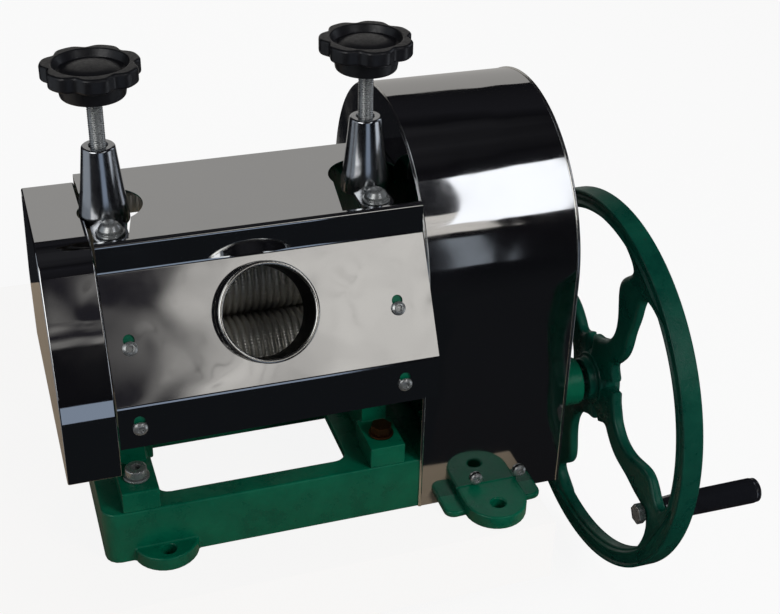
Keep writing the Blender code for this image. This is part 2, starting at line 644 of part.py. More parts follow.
def make_feed_tube():
    turned("feed_tube", ring(TUBE_RADIUS, TUBE_RADIUS - TUBE_WALL, -TUBE_IN, TUBE_OUT),
           panel_place(TUBE_X, TUBE_DOWN), "polished steel", 48)


def make_end_cover():
    right = COVER_LEFT - COVER_JOINT
    left = right - END_COVER_WIDTH
    top = COVER_TOP - END_COVER_DROP
    bulge = COVER_BULGE_DEPTH / 2 - 1 * MM
    shoulder = PANEL_TOP_Y - (top - PANEL_TOP_Z) * sin(PANEL_SLANT) / cos(PANEL_SLANT)

    def outline(wall):
        """Section in (y, z), moved inwards by the wall's thickness."""
        return rounded([
            (bulge - wall, END_COVER_BOTTOM, 0), (bulge - wall, BULGE_TOP, 20 * MM),
            (PANEL_TOP_Y - 4 * MM - wall, top - wall, 6 * MM), (-shoulder + wall / 2, top - wall, 22 * MM),
            (-bulge + wall, BULGE_TOP, 20 * MM), (-bulge + wall, END_COVER_BOTTOM, 0)])

    cover = slab("left_end_cover", [outline(0)], left, right, "polished steel")
    inner = [(y, z if z > END_COVER_BOTTOM else z - 5 * MM) for y, z in outline(SHEET)]
    join(cover, slab("end_cover_inside", [inner], left + SHEET, right + 5 * MM, None), "DIFFERENCE")
    hole(cover, rod(SLEEVE_BASE + 1.5 * MM, FRAME_TOP - 1 * MM, COVER_TOP), upright(FRAMES["left"], 0))


def make_gear_cover():
    def outline(wall, bottom):
        radius = GEAR_COVER_RADIUS - wall
        return ([(CASE_Y + radius, bottom)] + arc((CASE_Y, LAY_Z), radius, 0, pi, 40)
                + [(CASE_Y - radius, bottom)])

    cover = slab("gear_cover", [outline(0, SKIRT_LIFT)], CASE_LEFT, CASE_RIGHT, "polished steel")
    inside = slab("gear_cover_inside", [outline(GEAR_SHEET, -5 * MM)], CASE_LEFT + GEAR_SHEET,
                  CASE_RIGHT - GEAR_SHEET, None)
    join(cover, inside, "DIFFERENCE")
    seat = deck("gear_cover_seat", [box_outline(CASE_LEFT - 5 * MM, CASE_LEFT + 2 * GEAR_SHEET,
                                                FRONT - GAP, CASE_BACK + GAP)],
                -5 * MM, BASE_TOP, None)
    join(cover, seat, "DIFFERENCE")
    for face in (FRONT, CASE_BACK):
        notch = deck("ear_notch", [box_outline(RIGHT_EAR_X - EAR_RADIUS - 1 * MM,
                                               RIGHT_EAR_X + EAR_RADIUS + 1 * MM,
                                               face - 5 * MM, face + 5 * MM)],
                     -5 * MM, EAR_HEIGHT + 1 * MM, None)
        join(cover, notch, "DIFFERENCE")
    hole(cover, rod(JOURNAL_RADIUS + BUSH_WALL, -5 * MM, 5 * MM), lying(CASE_LEFT, LOWER_Y, LOWER_Z))
    hole(cover, rod(SHAFT_RADIUS + BUSH_WALL, -5 * MM, 5 * MM), lying(CASE_LEFT, CASE_Y, LAY_Z))
    hole(cover, rod(BOSS_RADIUS + 0.5 * MM, -5 * MM, 5 * MM), lying(CASE_RIGHT, CRANK_Y, CRANK_Z))
    for i, x in enumerate(SKIRT_SCREWS):
        hole(cover, rod(SCREW_RADIUS + GAP, -5 * MM, 5 * MM), skirt_screw_place(x, FRONT), 12)
        face = FRONT - GAP - GEAR_SHEET
        pan_screw(f"skirt_screw_{i + 1}", Matrix.Translation((x, face, SKIRT_SCREW_Z))
                  @ Matrix.Rotation(pi / 2, 4, "X"), 9 * MM)


def make_juice_tray():
    lip, floor, fall = 126 * MM, 114 * MM, 106 * MM
    half = [(-66 * MM, lip), (-66 * MM, floor), (0, fall)]
    profile = half + [(-y, z) for y, z in reversed(half[:2])]
    left = -FRAME_SPACING + FRAME_PLATE / 2 + GAP
    tray = bent_sheet("juice_tray", profile[::-1], left, -FRAME_PLATE / 2 - GAP, SHEET, "polished steel")
    spout = turned("spout", rod(SPOUT_RADIUS, 84 * MM, fall + 1 * MM), upright(TUBE_X, 0), None, 24)
    join(tray, spout, "UNION")
    hole(tray, rod(SPOUT_RADIUS - SHEET, 80 * MM, fall + 6 * MM), upright(TUBE_X, 0), 24)


# ---- pressure screws ----------------------------------------------------------------------------

def knob_outline():
    """Rim with shallow scallops between round lobes."""
    count = KNOB_LOBES * 9
    points = []
    for i in range(count):
        angle = 2 * pi * i / count
        dip = (0.5 - 0.5 * cos(KNOB_LOBES * angle)) ** 1.6
        radius = KNOB_RADIUS - LOBE_DEPTH * dip
        points.append((radius * cos(angle), radius * sin(angle)))
    return points


def make_pressure_screw(side, x):
    sleeve_low = FRAME_TOP + GAP
    tip = sleeve_low + SLEEVE_HEIGHT
    bore = STUD_RADIUS + GAP
    turned(f"screw_sleeve_{side}",
           [(SLEEVE_TIP - 1.5 * MM, tip), (SLEEVE_TIP, tip - 1.5 * MM), (SLEEVE_BASE, sleeve_low + 4 * MM),
            (SLEEVE_BASE, sleeve_low), (bore, sleeve_low), (bore, tip)], upright(x, 0), "chrome", 40)
    rim_low = KNOB_TOP - KNOB_RIM
    collar_low = rim_low - COLLAR_HEIGHT
    knob = plate(f"pressure_knob_{side}", [knob_outline()], KNOB_RIM, upright(x, 0, rim_low), "black plastic")
    collar = turned("collar", [(0, rim_low + 2 * MM), (COLLAR_RADIUS + 3 * MM, rim_low + 2 * MM),
                               (COLLAR_RADIUS, collar_low + 3 * MM), (COLLAR_RADIUS - 3 * MM, collar_low),
                               (0, collar_low)], upright(x, 0), None)
    join(knob, collar, "UNION")
    hole(knob, [(0, KNOB_TOP + 1 * MM), (DISH_RADIUS + 1 * MM, KNOB_TOP + 1 * MM),
                (DISH_RADIUS - 4 * MM, KNOB_TOP - DISH_DEPTH), (0, KNOB_TOP - DISH_DEPTH)], upright(x, 0))
    insert = rim_low + 3 * MM
    hole(knob, rod(bore, collar_low - 1 * MM, insert), upright(x, 0), 20)
    turned(f"pressure_stud_{side}", rod(STUD_RADIUS, TOP_ROLLER_Z + BLOCK_HEIGHT / 2 + GAP, insert - GAP),
           upright(x, 0), "zinc", 20)
    low = FRAME_TOP + GAP
    turned(f"dome_bolt_{side}",
           [(0, low + 18 * MM), (5 * MM, low + 16.6 * MM), (8 * MM, low + 13 * MM), (DOME_RADIUS - 1 * MM, low + 8 * MM),
            (DOME_RADIUS, low + 6 * MM), (DOME_RADIUS, low), (BOLT_RADIUS, low),
            (BOLT_RADIUS, low - 14 * MM), (0, low - 14 * MM)], upright(x, DOME_Y), "chrome", 24)


# ---- handwheel ----------------------------------------------------------------------------------

def spoke_window(index):
    """Opening between two spokes: parallel spoke edges, rounded into the hub and into the rim."""
    rim = WHEEL_RADIUS - RIM_DEPTH - 4 * MM
    first = asin(SPOKE_WIDTH / 2 / rim)
    corners = [(SPOKE_WIDTH / 2, SPOKE_WIDTH / 2, HUB_FILLET)]
    along_rim = arc((0, 0), rim, first, 2 * pi / SPOKES - first, 8)
    for i, (u, v) in enumerate(along_rim):
        corners.append((u, v, RIM_FILLET if i in (0, len(along_rim) - 1) else 0))
    turn = pi - (SPOKE_ANGLE + (index + 1) * 2 * pi / SPOKES)
    return [(CRANK_Y + u * cos(turn) - v * sin(turn), CRANK_Z + u * sin(turn) + v * cos(turn))
            for u, v in rounded(corners, 6)]


def make_handwheel():
    low, high = WHEEL_X - WEB / 2, WHEEL_X + WEB / 2
    web_outline = circle((CRANK_Y, CRANK_Z), WHEEL_RADIUS - RIM_DEPTH / 2, 48)
    windows = [spoke_window(i) for i in range(SPOKES)]
    bolt_hole = circle((HANDLE_Y, HANDLE_Z), BOLT_RADIUS + GAP, 16)
    wheel = slab("handwheel", [web_outline, bolt_hole] + windows, low, high, "green enamel")
    half = RIM_WIDTH / 2
    soft = 6 * MM
    inner = WHEEL_RADIUS - RIM_DEPTH
    rim = [(WHEEL_RADIUS - soft, half), (WHEEL_RADIUS, half - soft), (WHEEL_RADIUS, -half + soft),
           (WHEEL_RADIUS - soft, -half), (inner + soft, -half), (inner, -half + soft),
           (inner, half - soft), (inner + soft, half)]
    join(wheel, turned("wheel_rim", rim, lying(WHEEL_X, CRANK_Y, CRANK_Z), None, 64), "UNION")
    step = low - 3 * MM
    hub = [(0, high + 5 * MM), (HUB_RADIUS + 5 * MM, high + 5 * MM), (HUB_RADIUS + 5 * MM, step),
           (HUB_RADIUS, step), (HUB_RADIUS, HUB_START), (0, HUB_START)]
    join(wheel, turned("wheel_hub", hub, lying(0, CRANK_Y, CRANK_Z), None, 32), "UNION")
    hole(wheel, rod(SHAFT_RADIUS + GAP, HUB_START - 1 * MM, high + 9 * MM), lying(0, CRANK_Y, CRANK_Z))
    hexagon = [(CRANK_Y + 15 * MM * cos(i * pi / 3), CRANK_Z + 15 * MM * sin(i * pi / 3)) for i in range(6)]
    nut_low = high + 5 * MM + GAP
    slab("wheel_nut", [hexagon, circle((CRANK_Y, CRANK_Z), SHAFT_RADIUS + GAP)], nut_low, nut_low + 11 * MM,
         "zinc")


def make_handle():
    low, high = WHEEL_X - WEB / 2, WHEEL_X + WEB / 2
    nut_low = high + GAP
    nut_high = nut_low + 5 * MM
    grip_low = nut_high + 1.2 * GAP
    grip_high = grip_low + GRIP_LENGTH
    head = [(HANDLE_Y + BOLT_HEAD * cos(i * pi / 3), HANDLE_Z + BOLT_HEAD * sin(i * pi / 3)) for i in range(6)]
    bolt = slab("handle_bolt", [head], low - GAP - 6 * MM, low - GAP, "zinc")
    shank = turned("handle_shank", rod(BOLT_RADIUS, low - 3 * MM, grip_high - 8 * MM),
                   lying(0, HANDLE_Y, HANDLE_Z), None, 16)
    join(bolt, shank, "UNION")
    turned("handle_nut", ring(BOLT_HEAD, BOLT_RADIUS + GAP, nut_low, nut_high),
           lying(0, HANDLE_Y, HANDLE_Z), "zinc", 24)
    bore = BOLT_RADIUS + GAP
    soft = 1.5 * MM
    turned("handle_grip",
           [(0, grip_high), (GRIP_RADIUS - soft, grip_high), (GRIP_RADIUS, grip_high - soft),
            (GRIP_RADIUS, grip_low + soft), (GRIP_RADIUS - soft, grip_low), (bore, grip_low),
            (bore, grip_high - 6 * MM), (0, grip_high - 6 * MM)],
           lying(0, HANDLE_Y, HANDLE_Z), "black plastic", 32)


BRACKET_BACK = CASE_Y + 40 * MM
BRACKET_BOLT_X = BRACKET_X + BRACKET_WALL + 11 * MM
BRACKET_BOLTS = (14 * MM, BRACKET_BACK - 14 * MM)
SKIRT_SCREWS = (80 * MM, 120 * MM)
SKIRT_SCREW_Z = 20 * MM
PANEL_SCREW_DOWN = 56 * MM
STRIP_SCREW_Z = (BULGE_TOP + BULGE_BOTTOM) / 2 - 1 * MM
TUBE_X = -FRAME_SPACING / 2
SPOUT_RADIUS = 15 * MM

clear_scene()
PARTS = new_collection("roller_press")
CUTTERS = new_collection("cutters")
FINISHES = {
    "green enamel": material("green enamel", (0.002, 0.12, 0.06), 0.35, 0.0),
    "polished steel": material("polished steel", (0.62, 0.62, 0.62), 0.12, 1.0),
    "chrome": material("chrome", (0.7, 0.7, 0.7), 0.08, 1.0),
    "zinc": material("zinc", (0.55, 0.55, 0.54), 0.35, 1.0),
    "roller steel": material("roller steel", (0.5, 0.5, 0.5), 0.3, 1.0),
    "shaft steel": material("shaft steel", (0.45, 0.45, 0.45), 0.3, 1.0),
    "gear steel": material("gear steel", (0.35, 0.35, 0.36), 0.4, 1.0),
    "bronze": material("bronze", (0.45, 0.3, 0.12), 0.35, 1.0),
    "black plastic": material("black plastic", (0.01, 0.01, 0.012), 0.35, 0.0),
}

make_base()
for side_name, frame_x in FRAMES.items():
    make_side_frame(side_name, frame_x)
    make_pressure_screw(side_name, frame_x)
make_rollers()
make_gears()
make_shafts()
make_bracket()
make_main_cover()
make_feed_tube()
make_end_cover()
make_gear_cover()
make_juice_tray()
make_handwheel()
make_handle()
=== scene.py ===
import json
from math import atan2, cos, pi, radians, sin, sqrt, tan

import bmesh
import bpy
import numpy as np
from mathutils import Matrix, Vector


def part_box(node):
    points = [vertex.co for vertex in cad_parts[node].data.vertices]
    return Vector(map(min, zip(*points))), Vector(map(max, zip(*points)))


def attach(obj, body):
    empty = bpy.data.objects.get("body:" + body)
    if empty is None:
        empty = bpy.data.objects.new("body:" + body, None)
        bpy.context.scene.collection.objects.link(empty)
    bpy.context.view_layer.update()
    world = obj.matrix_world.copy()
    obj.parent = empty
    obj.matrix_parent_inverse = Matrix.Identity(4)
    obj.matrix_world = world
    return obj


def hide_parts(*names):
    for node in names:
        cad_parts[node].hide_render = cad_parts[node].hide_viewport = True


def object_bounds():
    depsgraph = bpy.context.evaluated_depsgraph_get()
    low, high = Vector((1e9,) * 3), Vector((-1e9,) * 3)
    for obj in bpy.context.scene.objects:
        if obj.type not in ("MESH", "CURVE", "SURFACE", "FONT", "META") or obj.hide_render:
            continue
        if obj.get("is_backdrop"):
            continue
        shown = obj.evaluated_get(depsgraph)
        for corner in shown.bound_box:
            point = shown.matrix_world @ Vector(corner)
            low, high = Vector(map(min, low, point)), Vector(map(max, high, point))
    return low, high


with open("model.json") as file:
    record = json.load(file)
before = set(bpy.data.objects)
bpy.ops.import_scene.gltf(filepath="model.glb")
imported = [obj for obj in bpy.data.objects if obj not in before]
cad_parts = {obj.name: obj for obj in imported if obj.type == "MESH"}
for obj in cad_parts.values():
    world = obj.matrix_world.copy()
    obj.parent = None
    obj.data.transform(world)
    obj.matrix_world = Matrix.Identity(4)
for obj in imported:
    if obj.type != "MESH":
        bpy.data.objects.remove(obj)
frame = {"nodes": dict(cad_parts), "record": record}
cadLow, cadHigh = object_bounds()

mm = 0.001
tau = 2 * pi
# axes of a shape: two directions across it, then the one that it is carried along
upward = ((1, 0, 0), (0, 1, 0), (0, 0, 1))
sideways = ((0, 1, 0), (0, 0, 1), (1, 0, 0))
forward = ((1, 0, 0), (0, 0, 1), (0, -1, 0))


def linear(code):  # sRGB hex to linear RGBA
    parts = np.array([int(code[i:i + 2], 16) for i in (1, 3, 5)]) / 255
    light = np.where(parts <= 0.04045, parts / 12.92, ((parts + 0.055) / 1.055) ** 2.4)
    return (*light.tolist(), 1.0)


def addNode(tree, kind, settings=None, links=None):
    # one node, its settings and what feeds it: hex colours turn linear, a ramp's stops are (place, colour)
    node = tree.nodes.new(kind)
    for key, value in (settings or {}).items():
        if key == "stops":
            for i, (at, colour) in enumerate(value):
                stop = node.color_ramp.elements[i] if i < 2 else node.color_ramp.elements.new(at)
                stop.position, stop.color = at, linear(colour)
        elif isinstance(key, str) and hasattr(node, key):
            setattr(node, key, value)
        else:
            node.inputs[key].default_value = linear(value) if isinstance(value, str) else value
    for key, source in (links or {}).items():
        tree.links.new(source, node.inputs[key])
    return node


def newMaterial(name, colour, metallic, roughness):
    made = bpy.data.materials.new(name)
    made.use_nodes = True
    tree = made.node_tree
    shader = tree.nodes["Principled BSDF"]
    shader.inputs["Base Color"].default_value = linear(colour)
    shader.inputs["Metallic"].default_value = metallic
    shader.inputs["Roughness"].default_value = roughness
    place = addNode(tree, "ShaderNodeTexCoord").outputs["Object"]
    return made, tree, shader, place


def linked(piece):
    bpy.context.scene.collection.objects.link(piece)
    return piece


def meshFrom(name, grids):
    # each grid is (points, wrapU, wrapV, caps): rows of points joined into quads, ends closed by caps
    verts, faces, base = [], [], 0
    for points, wrapU, wrapV, caps in grids:
        points = np.asarray(points, dtype=float)
        nu, nv = points.shape[:2]
        u = np.arange(nu if wrapU else nu - 1)
        v = np.arange(nv if wrapV else nv - 1)
        uu, vv = np.meshgrid(u, v, indexing="ij")
        u2, v2 = (uu + 1) % nu, (vv + 1) % nv
        quads = np.stack([uu * nv + vv, u2 * nv + vv, u2 * nv + v2, uu * nv + v2], -1).reshape(-1, 4) + base
        faces += quads.tolist()
        if caps:
            faces.append((base + np.arange(nv)[::-1]).tolist())
            faces.append((base + (nu - 1) * nv + np.arange(nv)).tolist())
        verts.append(points.reshape(-1, 3))
        base += nu * nv
    mesh = bpy.data.meshes.new(name)
    mesh.from_pydata(np.concatenate(verts).tolist(), [], faces)
    work = bmesh.new()
    work.from_mesh(mesh)
    bmesh.ops.remove_doubles(work, verts=work.verts, dist=2e-6)
    bmesh.ops.recalc_face_normals(work, faces=work.faces)
    work.to_mesh(mesh)
    work.free()
    return linked(bpy.data.objects.new(name, mesh))


def lathe(profile, centre, axes, sides=96):
    # point = centre + height * axis + radius * (cos a, sin a) across it; profile is (radius, height) in mm
    profile = np.asarray(profile, dtype=float) * mm
    a = np.linspace(0, tau, sides, endpoint=False)
    r, h = profile[:, 0][:, None], profile[:, 1][:, None]
    e1, e2, e3 = (np.array(e) for e in axes)
    pts = (np.asarray(centre) + h[..., None] * e3 + (r * np.cos(a))[..., None] * e1
           + (r * np.sin(a))[..., None] * e2)
    return pts, False, True, False


def prism(outline, axes, origin, low, high):
    # flat outline (mm) carried from low to high along its normal: a straight cutter or plate
    e1, e2, e3 = (np.array(e, float) for e in axes)
    o = np.asarray(outline, float)
    rows = [np.asarray(origin) + (o[:, :1] * e1 + o[:, 1:] * e2 + h * e3) * mm for h in (low, high)]
    return np.array(rows), False, True, True


def arc(centre, radii, start, stop, steps):  # points round an ellipse, from one angle to another
    return [(centre[0] + radii[0] * cos(q), centre[1] + radii[1] * sin(q))
            for q in np.linspace(start, stop, steps)]


def ringOf(radius, sides=64, centre=(0, 0)):
    return arc(centre, (radius, radius), 0, tau, sides + 1)[:-1]


def softProfile(points, steps=6):
    # open (x, y, radius) polyline whose corners become arcs tangent to both neighbours
    out = []
    for i, (x, y, r) in enumerate(points):
        if r == 0 or i in (0, len(points) - 1):
            out.append((x, y))
            continue
        p = np.array((x, y), float)
        a = np.array(points[i - 1][:2], float) - p
        b = np.array(points[i + 1][:2], float) - p
        a, b = a / np.hypot(*a), b / np.hypot(*b)
        half = np.arccos(np.clip(a @ b, -1, 1)) / 2
        c = p + (a + b) / np.hypot(*(a + b)) * r / sin(half)
        s, e = p + a * r / tan(half) - c, p + b * r / tan(half) - c
        t = atan2(s[0] * e[1] - s[1] * e[0], s @ e) * np.linspace(0, 1, steps + 1)
        out += [(c[0] + s[0] * cos(q) - s[1] * sin(q), c[1] + s[0] * sin(q) + s[1] * cos(q)) for q in t]
    return out


def offsetPath(path, distance):  # path moved to the right of its direction, mitred
    p = np.asarray(path, float)
    d = np.diff(p, axis=0)
    d /= np.linalg.norm(d, axis=1)[:, None]
    n = np.stack([d[:, 1], -d[:, 0]], 1)
    m = np.vstack([n[:1], n[:-1] + n[1:], n[-1:]])
    m /= np.linalg.norm(m, axis=1)[:, None]
    k = np.concatenate([[1], np.sum(m[1:-1] * n[:-1], 1), [1]])
    return p + m * (distance / k)[:, None]


def sheetAlongX(path, x0, x1, wall):
    # closed strip: the path and its inward offset, carried straight from x0 to x1 (all mm)
    ring = np.vstack([path, offsetPath(path, wall)[::-1]])
    rows = [np.column_stack([np.full(len(ring), x), ring]) for x in (x0, x1)]
    return np.array(rows) * mm, False, True, True


def applied(piece):  # modifiers worked into the mesh
    graph = bpy.context.evaluated_depsgraph_get()
    mesh = bpy.data.meshes.new_from_object(piece.evaluated_get(graph))
    old = piece.data
    piece.modifiers.clear()
    piece.data = mesh
    bpy.data.meshes.remove(old)
    return piece


def cutAway(piece, shapes):  # closed grids taken out of the piece, one after the other
    cutters = [meshFrom("cutter", [shape]) for shape in shapes]
    for cutter in cutters:
        step = piece.modifiers.new("cut", "BOOLEAN")
        step.object = cutter
        step.operation = "DIFFERENCE"
        step.solver = "EXACT"
    applied(piece)
    for cutter in cutters:
        bpy.data.objects.remove(cutter, do_unlink=True)
    return piece


def softened(piece, width, segments=2, angle=35):
    bevel = piece.modifiers.new("Soft edges", "BEVEL")
    bevel.width = width * mm
    bevel.segments = segments
    bevel.limit_method = "ANGLE"
    bevel.angle_limit = radians(angle)
    bevel.use_clamp_overlap = False
    bevel.miter_outer = "MITER_ARC"
    return applied(piece)


def dress(piece, material, body, replacing=(), sharp=38):
    mesh = piece.data
    mesh.materials.clear()
    mesh.materials.append(material)
    mesh.polygons.foreach_set("use_smooth", np.ones(len(mesh.polygons), dtype=bool))
    mesh.polygons.foreach_set("material_index", np.zeros(len(mesh.polygons), dtype=np.int32))
    mesh.set_sharp_from_angle(angle=radians(sharp))
    weight = piece.modifiers.new("Flat faces stay flat", "WEIGHTED_NORMAL")
    weight.keep_sharp = True
    applied(piece)
    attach(piece, body)
    if replacing:
        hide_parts(*replacing)
    return piece


def copyOf(node, name):  # the CAD solid's own shape, its loose triangles merged
    mesh = frame["nodes"][node].data.copy()
    work = bmesh.new()
    work.from_mesh(mesh)
    bmesh.ops.remove_doubles(work, verts=work.verts, dist=2e-6)
    bmesh.ops.dissolve_limit(work, angle_limit=radians(1), verts=work.verts, edges=work.edges)
    work.to_mesh(mesh)
    work.free()
    return linked(bpy.data.objects.new(name, mesh))


def boxOf(node):  # lowest and highest corner at rest, in mm
    return tuple(np.array(corner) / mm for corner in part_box(node))


def centreOf(node):
    low, high = boxOf(node)
    return (low + high) / 2


bodyOfNode = {n: b for b, nodes in frame["record"]["behaviour"]["bodies"].items() for n in nodes}


print("materials")


def mirrorSheet(name, colour, roughness, wave):
    # stainless 304 sheet, mirror polished: sharp reflections that waver where the thin sheet is not
    # quite flat (75 mm waves), and faint smears from handling, about 45 mm across
    made, tree, shader, place = newMaterial(name, colour, 1.0, roughness)
    smear = addNode(tree, "ShaderNodeTexNoise", {"Scale": 22.0, "Detail": 5.0, "Roughness": 0.6},
                    {"Vector": place})
    rough = addNode(tree, "ShaderNodeMapRange", {"From Min": 0.35, "From Max": 0.75, "To Min": roughness * 0.7,
                                                 "To Max": roughness * 2.2}, {"Value": smear.outputs["Fac"]})
    tree.links.new(rough.outputs["Result"], shader.inputs["Roughness"])
    buckle = addNode(tree, "ShaderNodeTexNoise", {"Scale": 13.0, "Detail": 1.0, "Roughness": 0.3,
                                                  "Distortion": 0.6}, {"Vector": place})
    bump = addNode(tree, "ShaderNodeBump", {"Strength": 1.0, "Distance": wave * mm},
                   {"Height": buckle.outputs["Fac"]})
    tree.links.new(bump.outputs["Normal"], shader.inputs["Normal"])
    return made


def castEnamel(name, dark, light):
    # gloss enamel sprayed on a sand casting: green, softly pitted at 1 to 3 mm, darker where it is
    # thin or greasy, with chips of 3 to 6 mm down to dark iron
    made, tree, shader, place = newMaterial(name, light, 0.0, 0.3)
    shader.inputs["Specular IOR Level"].default_value = 0.32
    cloud = addNode(tree, "ShaderNodeTexNoise", {"Scale": 28.0, "Detail": 6.0, "Roughness": 0.65},
                    {"Vector": place})
    tone = addNode(tree, "ShaderNodeValToRGB", {"stops": [(0.30, dark), (0.65, light)]},
                   {"Fac": cloud.outputs["Fac"]})
    flaws = addNode(tree, "ShaderNodeTexNoise", {"Scale": 120.0, "Detail": 4.0, "Roughness": 0.7},
                    {"Vector": place})
    chips = addNode(tree, "ShaderNodeMapRange", {"From Min": 0.70, "From Max": 0.74},
                    {"Value": flaws.outputs["Fac"]})
    mix = addNode(tree, "ShaderNodeMix", {"data_type": "RGBA", 7: "#2b2723"},
                  {0: chips.outputs["Result"], 6: tone.outputs["Color"]})
    tree.links.new(mix.outputs[2], shader.inputs["Base Color"])
    rough = addNode(tree, "ShaderNodeMapRange", {"From Min": 0.3, "From Max": 0.7, "To Min": 0.2,
                                                 "To Max": 0.42}, {"Value": cloud.outputs["Fac"]})
    tree.links.new(rough.outputs["Result"], shader.inputs["Roughness"])
    sand = addNode(tree, "ShaderNodeTexNoise", {"Scale": 420.0, "Detail": 3.0, "Roughness": 0.6},
                   {"Vector": place})  # grain drawn at 2.4 mm
    swell = addNode(tree, "ShaderNodeTexNoise", {"Scale": 60.0, "Detail": 2.0}, {"Vector": place})
    both = addNode(tree, "ShaderNodeMath", {"operation": "MULTIPLY_ADD", 1: 0.35},
                   {0: sand.outputs["Fac"], 2: swell.outputs["Fac"]})
    bump = addNode(tree, "ShaderNodeBump", {"Strength": 0.55, "Distance": 0.9 * mm},
                   {"Height": both.outputs["Value"]})
    tree.links.new(bump.outputs["Normal"], shader.inputs["Normal"])
    return made


def platedSteel(name, dark, light, gloss, grain, depth, metallic=1.0):
    # plated or turned steel: colour and gloss drift a little, with a fine tooled grain, its depth in mm
    made, tree, shader, place = newMaterial(name, light, metallic, gloss[0])
    drift = addNode(tree, "ShaderNodeTexNoise", {"Scale": grain, "Detail": 5.0, "Roughness": 0.6},
                    {"Vector": place})
    tone = addNode(tree, "ShaderNodeMix", {"data_type": "RGBA", 6: dark, 7: light}, {0: drift.outputs["Fac"]})
    tree.links.new(tone.outputs[2], shader.inputs["Base Color"])
    rough = addNode(tree, "ShaderNodeMapRange", {"From Min": 0.3, "From Max": 0.7, "To Min": gloss[0],
                                                 "To Max": gloss[1]}, {"Value": drift.outputs["Fac"]})
    tree.links.new(rough.outputs["Result"], shader.inputs["Roughness"])
    bump = addNode(tree, "ShaderNodeBump", {"Strength": 0.4, "Distance": depth * mm},
                   {"Height": drift.outputs["Fac"]})
    tree.links.new(bump.outputs["Normal"], shader.inputs["Normal"])
    return made


def mouldedPlastic(name, colour, roughness, grain, depth, coat=0.0):
    # moulded black phenolic: near black, soft gloss, a faint orange-peel skin; a clear coat, where
    # there is one, doubles the streaks of light along it
    made, tree, shader, place = newMaterial(name, colour, 0.0, roughness)
    if coat:
        shader.inputs["Coat Weight"].default_value = coat
        shader.inputs["Coat Roughness"].default_value = 0.05
    skin = addNode(tree, "ShaderNodeTexNoise", {"Scale": grain, "Detail": 3.0, "Roughness": 0.5},
                   {"Vector": place})
    rough = addNode(tree, "ShaderNodeMapRange", {"From Min": 0.3, "From Max": 0.7, "To Min": roughness * 0.8,
                                                 "To Max": roughness * 1.3}, {"Value": skin.outputs["Fac"]})
    tree.links.new(rough.outputs["Result"], shader.inputs["Roughness"])
    bump = addNode(tree, "ShaderNodeBump", {"Strength": 0.3, "Distance": depth * mm},
                   {"Height": skin.outputs["Fac"]})
    tree.links.new(bump.outputs["Normal"], shader.inputs["Normal"])
    return made


coverSteel = mirrorSheet("mirror polished stainless sheet", "#c9cacb", 0.045, 0.4)
caseSteel = mirrorSheet("mirror polished gear case sheet", "#c4c4c4", 0.05, 0.9)
enamel = castEnamel("green enamel on cast iron", "#004a36", "#006246")
# the handwheel and its nut get the base's green enamel made darker: painted shade for the wheel's face turned
# away from the light
wheelShadedEnamel = castEnamel("green enamel darkened as painted shade on the handwheel", "#02342a", "#044838")
chromePlate = platedSteel("bright chrome plate", "#c2c4c6", "#dcdddf", (0.05, 0.10), 60.0, 0.05)
# a dull oxide skin scatters light as well as mirroring it, so zinc and rollers read as pale metal
zincPlate = platedSteel("clear zinc plate", "#9a9c9b", "#c3c5c4", (0.22, 0.38), 300.0, 0.08, 0.82)
rollerSteel = platedSteel("knurled stainless steel", "#bdbab2", "#e4e1d8", (0.30, 0.46), 60.0, 0.05, 0.85)
shaftSteel = platedSteel("turned bright steel", "#8f9091", "#b4b5b6", (0.22, 0.36), 250.0, 0.06)
gearSteel = platedSteel("oiled gear steel", "#3c3d3f", "#6a6b6d", (0.28, 0.45), 180.0, 0.1)
bronze = platedSteel("bearing bronze", "#8a6430", "#b8904c", (0.25, 0.4), 200.0, 0.06)
hemSteel = platedSteel("buffed sheet edge", "#c9c8c4", "#eceae4", (0.16, 0.28), 90.0, 0.04)
coneSteel = platedSteel("satin chrome casting", "#b3b5b8", "#cfd1d3", (0.16, 0.26), 40.0, 0.05)
# near-black steel for a thin liner inside the feed tube: painted shade for the shaded inside of the tube, which
# the rollers mirror as dark
tubeBoreShade = platedSteel("painted shade in the tube bore", "#121316", "#1e1f22", (0.42, 0.6), 60.0, 0.05)
rustySteel = platedSteel("rusted steel bolt", "#3b2416", "#7a5236", (0.5, 0.75), 420.0, 0.5)
phenolic = mouldedPlastic("moulded black phenolic", "#131316", 0.36, 500.0, 0.12)
gripPlastic = mouldedPlastic("polished black grip", "#15161a", 0.07, 300.0, 0.03, 1.0)


print("castings")
# mm: edge softness of each casting
castingEdges = {"base_casting": 1.8, "left_side_frame": 1.2, "right_side_frame": 1.2, "gear_bracket": 1.2}
# the base's underside is hollow: the web round the juice opening is thin, its walls stand further out
baseHollow = {"left": -176, "right": -10, "front": -55, "back": 69, "top": 43}
earFoot = {"left": 46, "right": 135, "back": -73, "frontLeft": -92, "frontRight": -88, "round": (9, 8),
           "low": 0.2, "high": 6.5, "edge": 2.2}

for node, edge in castingEdges.items():
    piece = copyOf(node, node + "_cast")
    if node == "base_casting":
        outline = [(baseHollow[x], baseHollow[y]) for x, y in (("left", "front"), ("right", "front"),
                                                               ("right", "back"), ("left", "back"))]
        cutAway(piece, [prism(outline, upward, (0, 0, 0), -1, baseHollow["top"])])
    dress(softened(piece, edge, 3), enamel, "frame", (node,))

outline = [(earFoot["left"], earFoot["back"]), (earFoot["left"], earFoot["frontLeft"])]
outline += arc((earFoot["left"] + 9, earFoot["frontLeft"]), earFoot["round"], pi, 1.5 * pi, 7)
outline += arc((earFoot["right"] - 9, earFoot["frontRight"]), earFoot["round"], 1.5 * pi, tau, 7)
outline += [(earFoot["right"], earFoot["back"])]
footPlate = meshFrom("base_ear_foot", [prism(outline, upward, (0, 0, 0), earFoot["low"], earFoot["high"])])
dress(softened(footPlate, earFoot["edge"], 3), enamel, "frame")


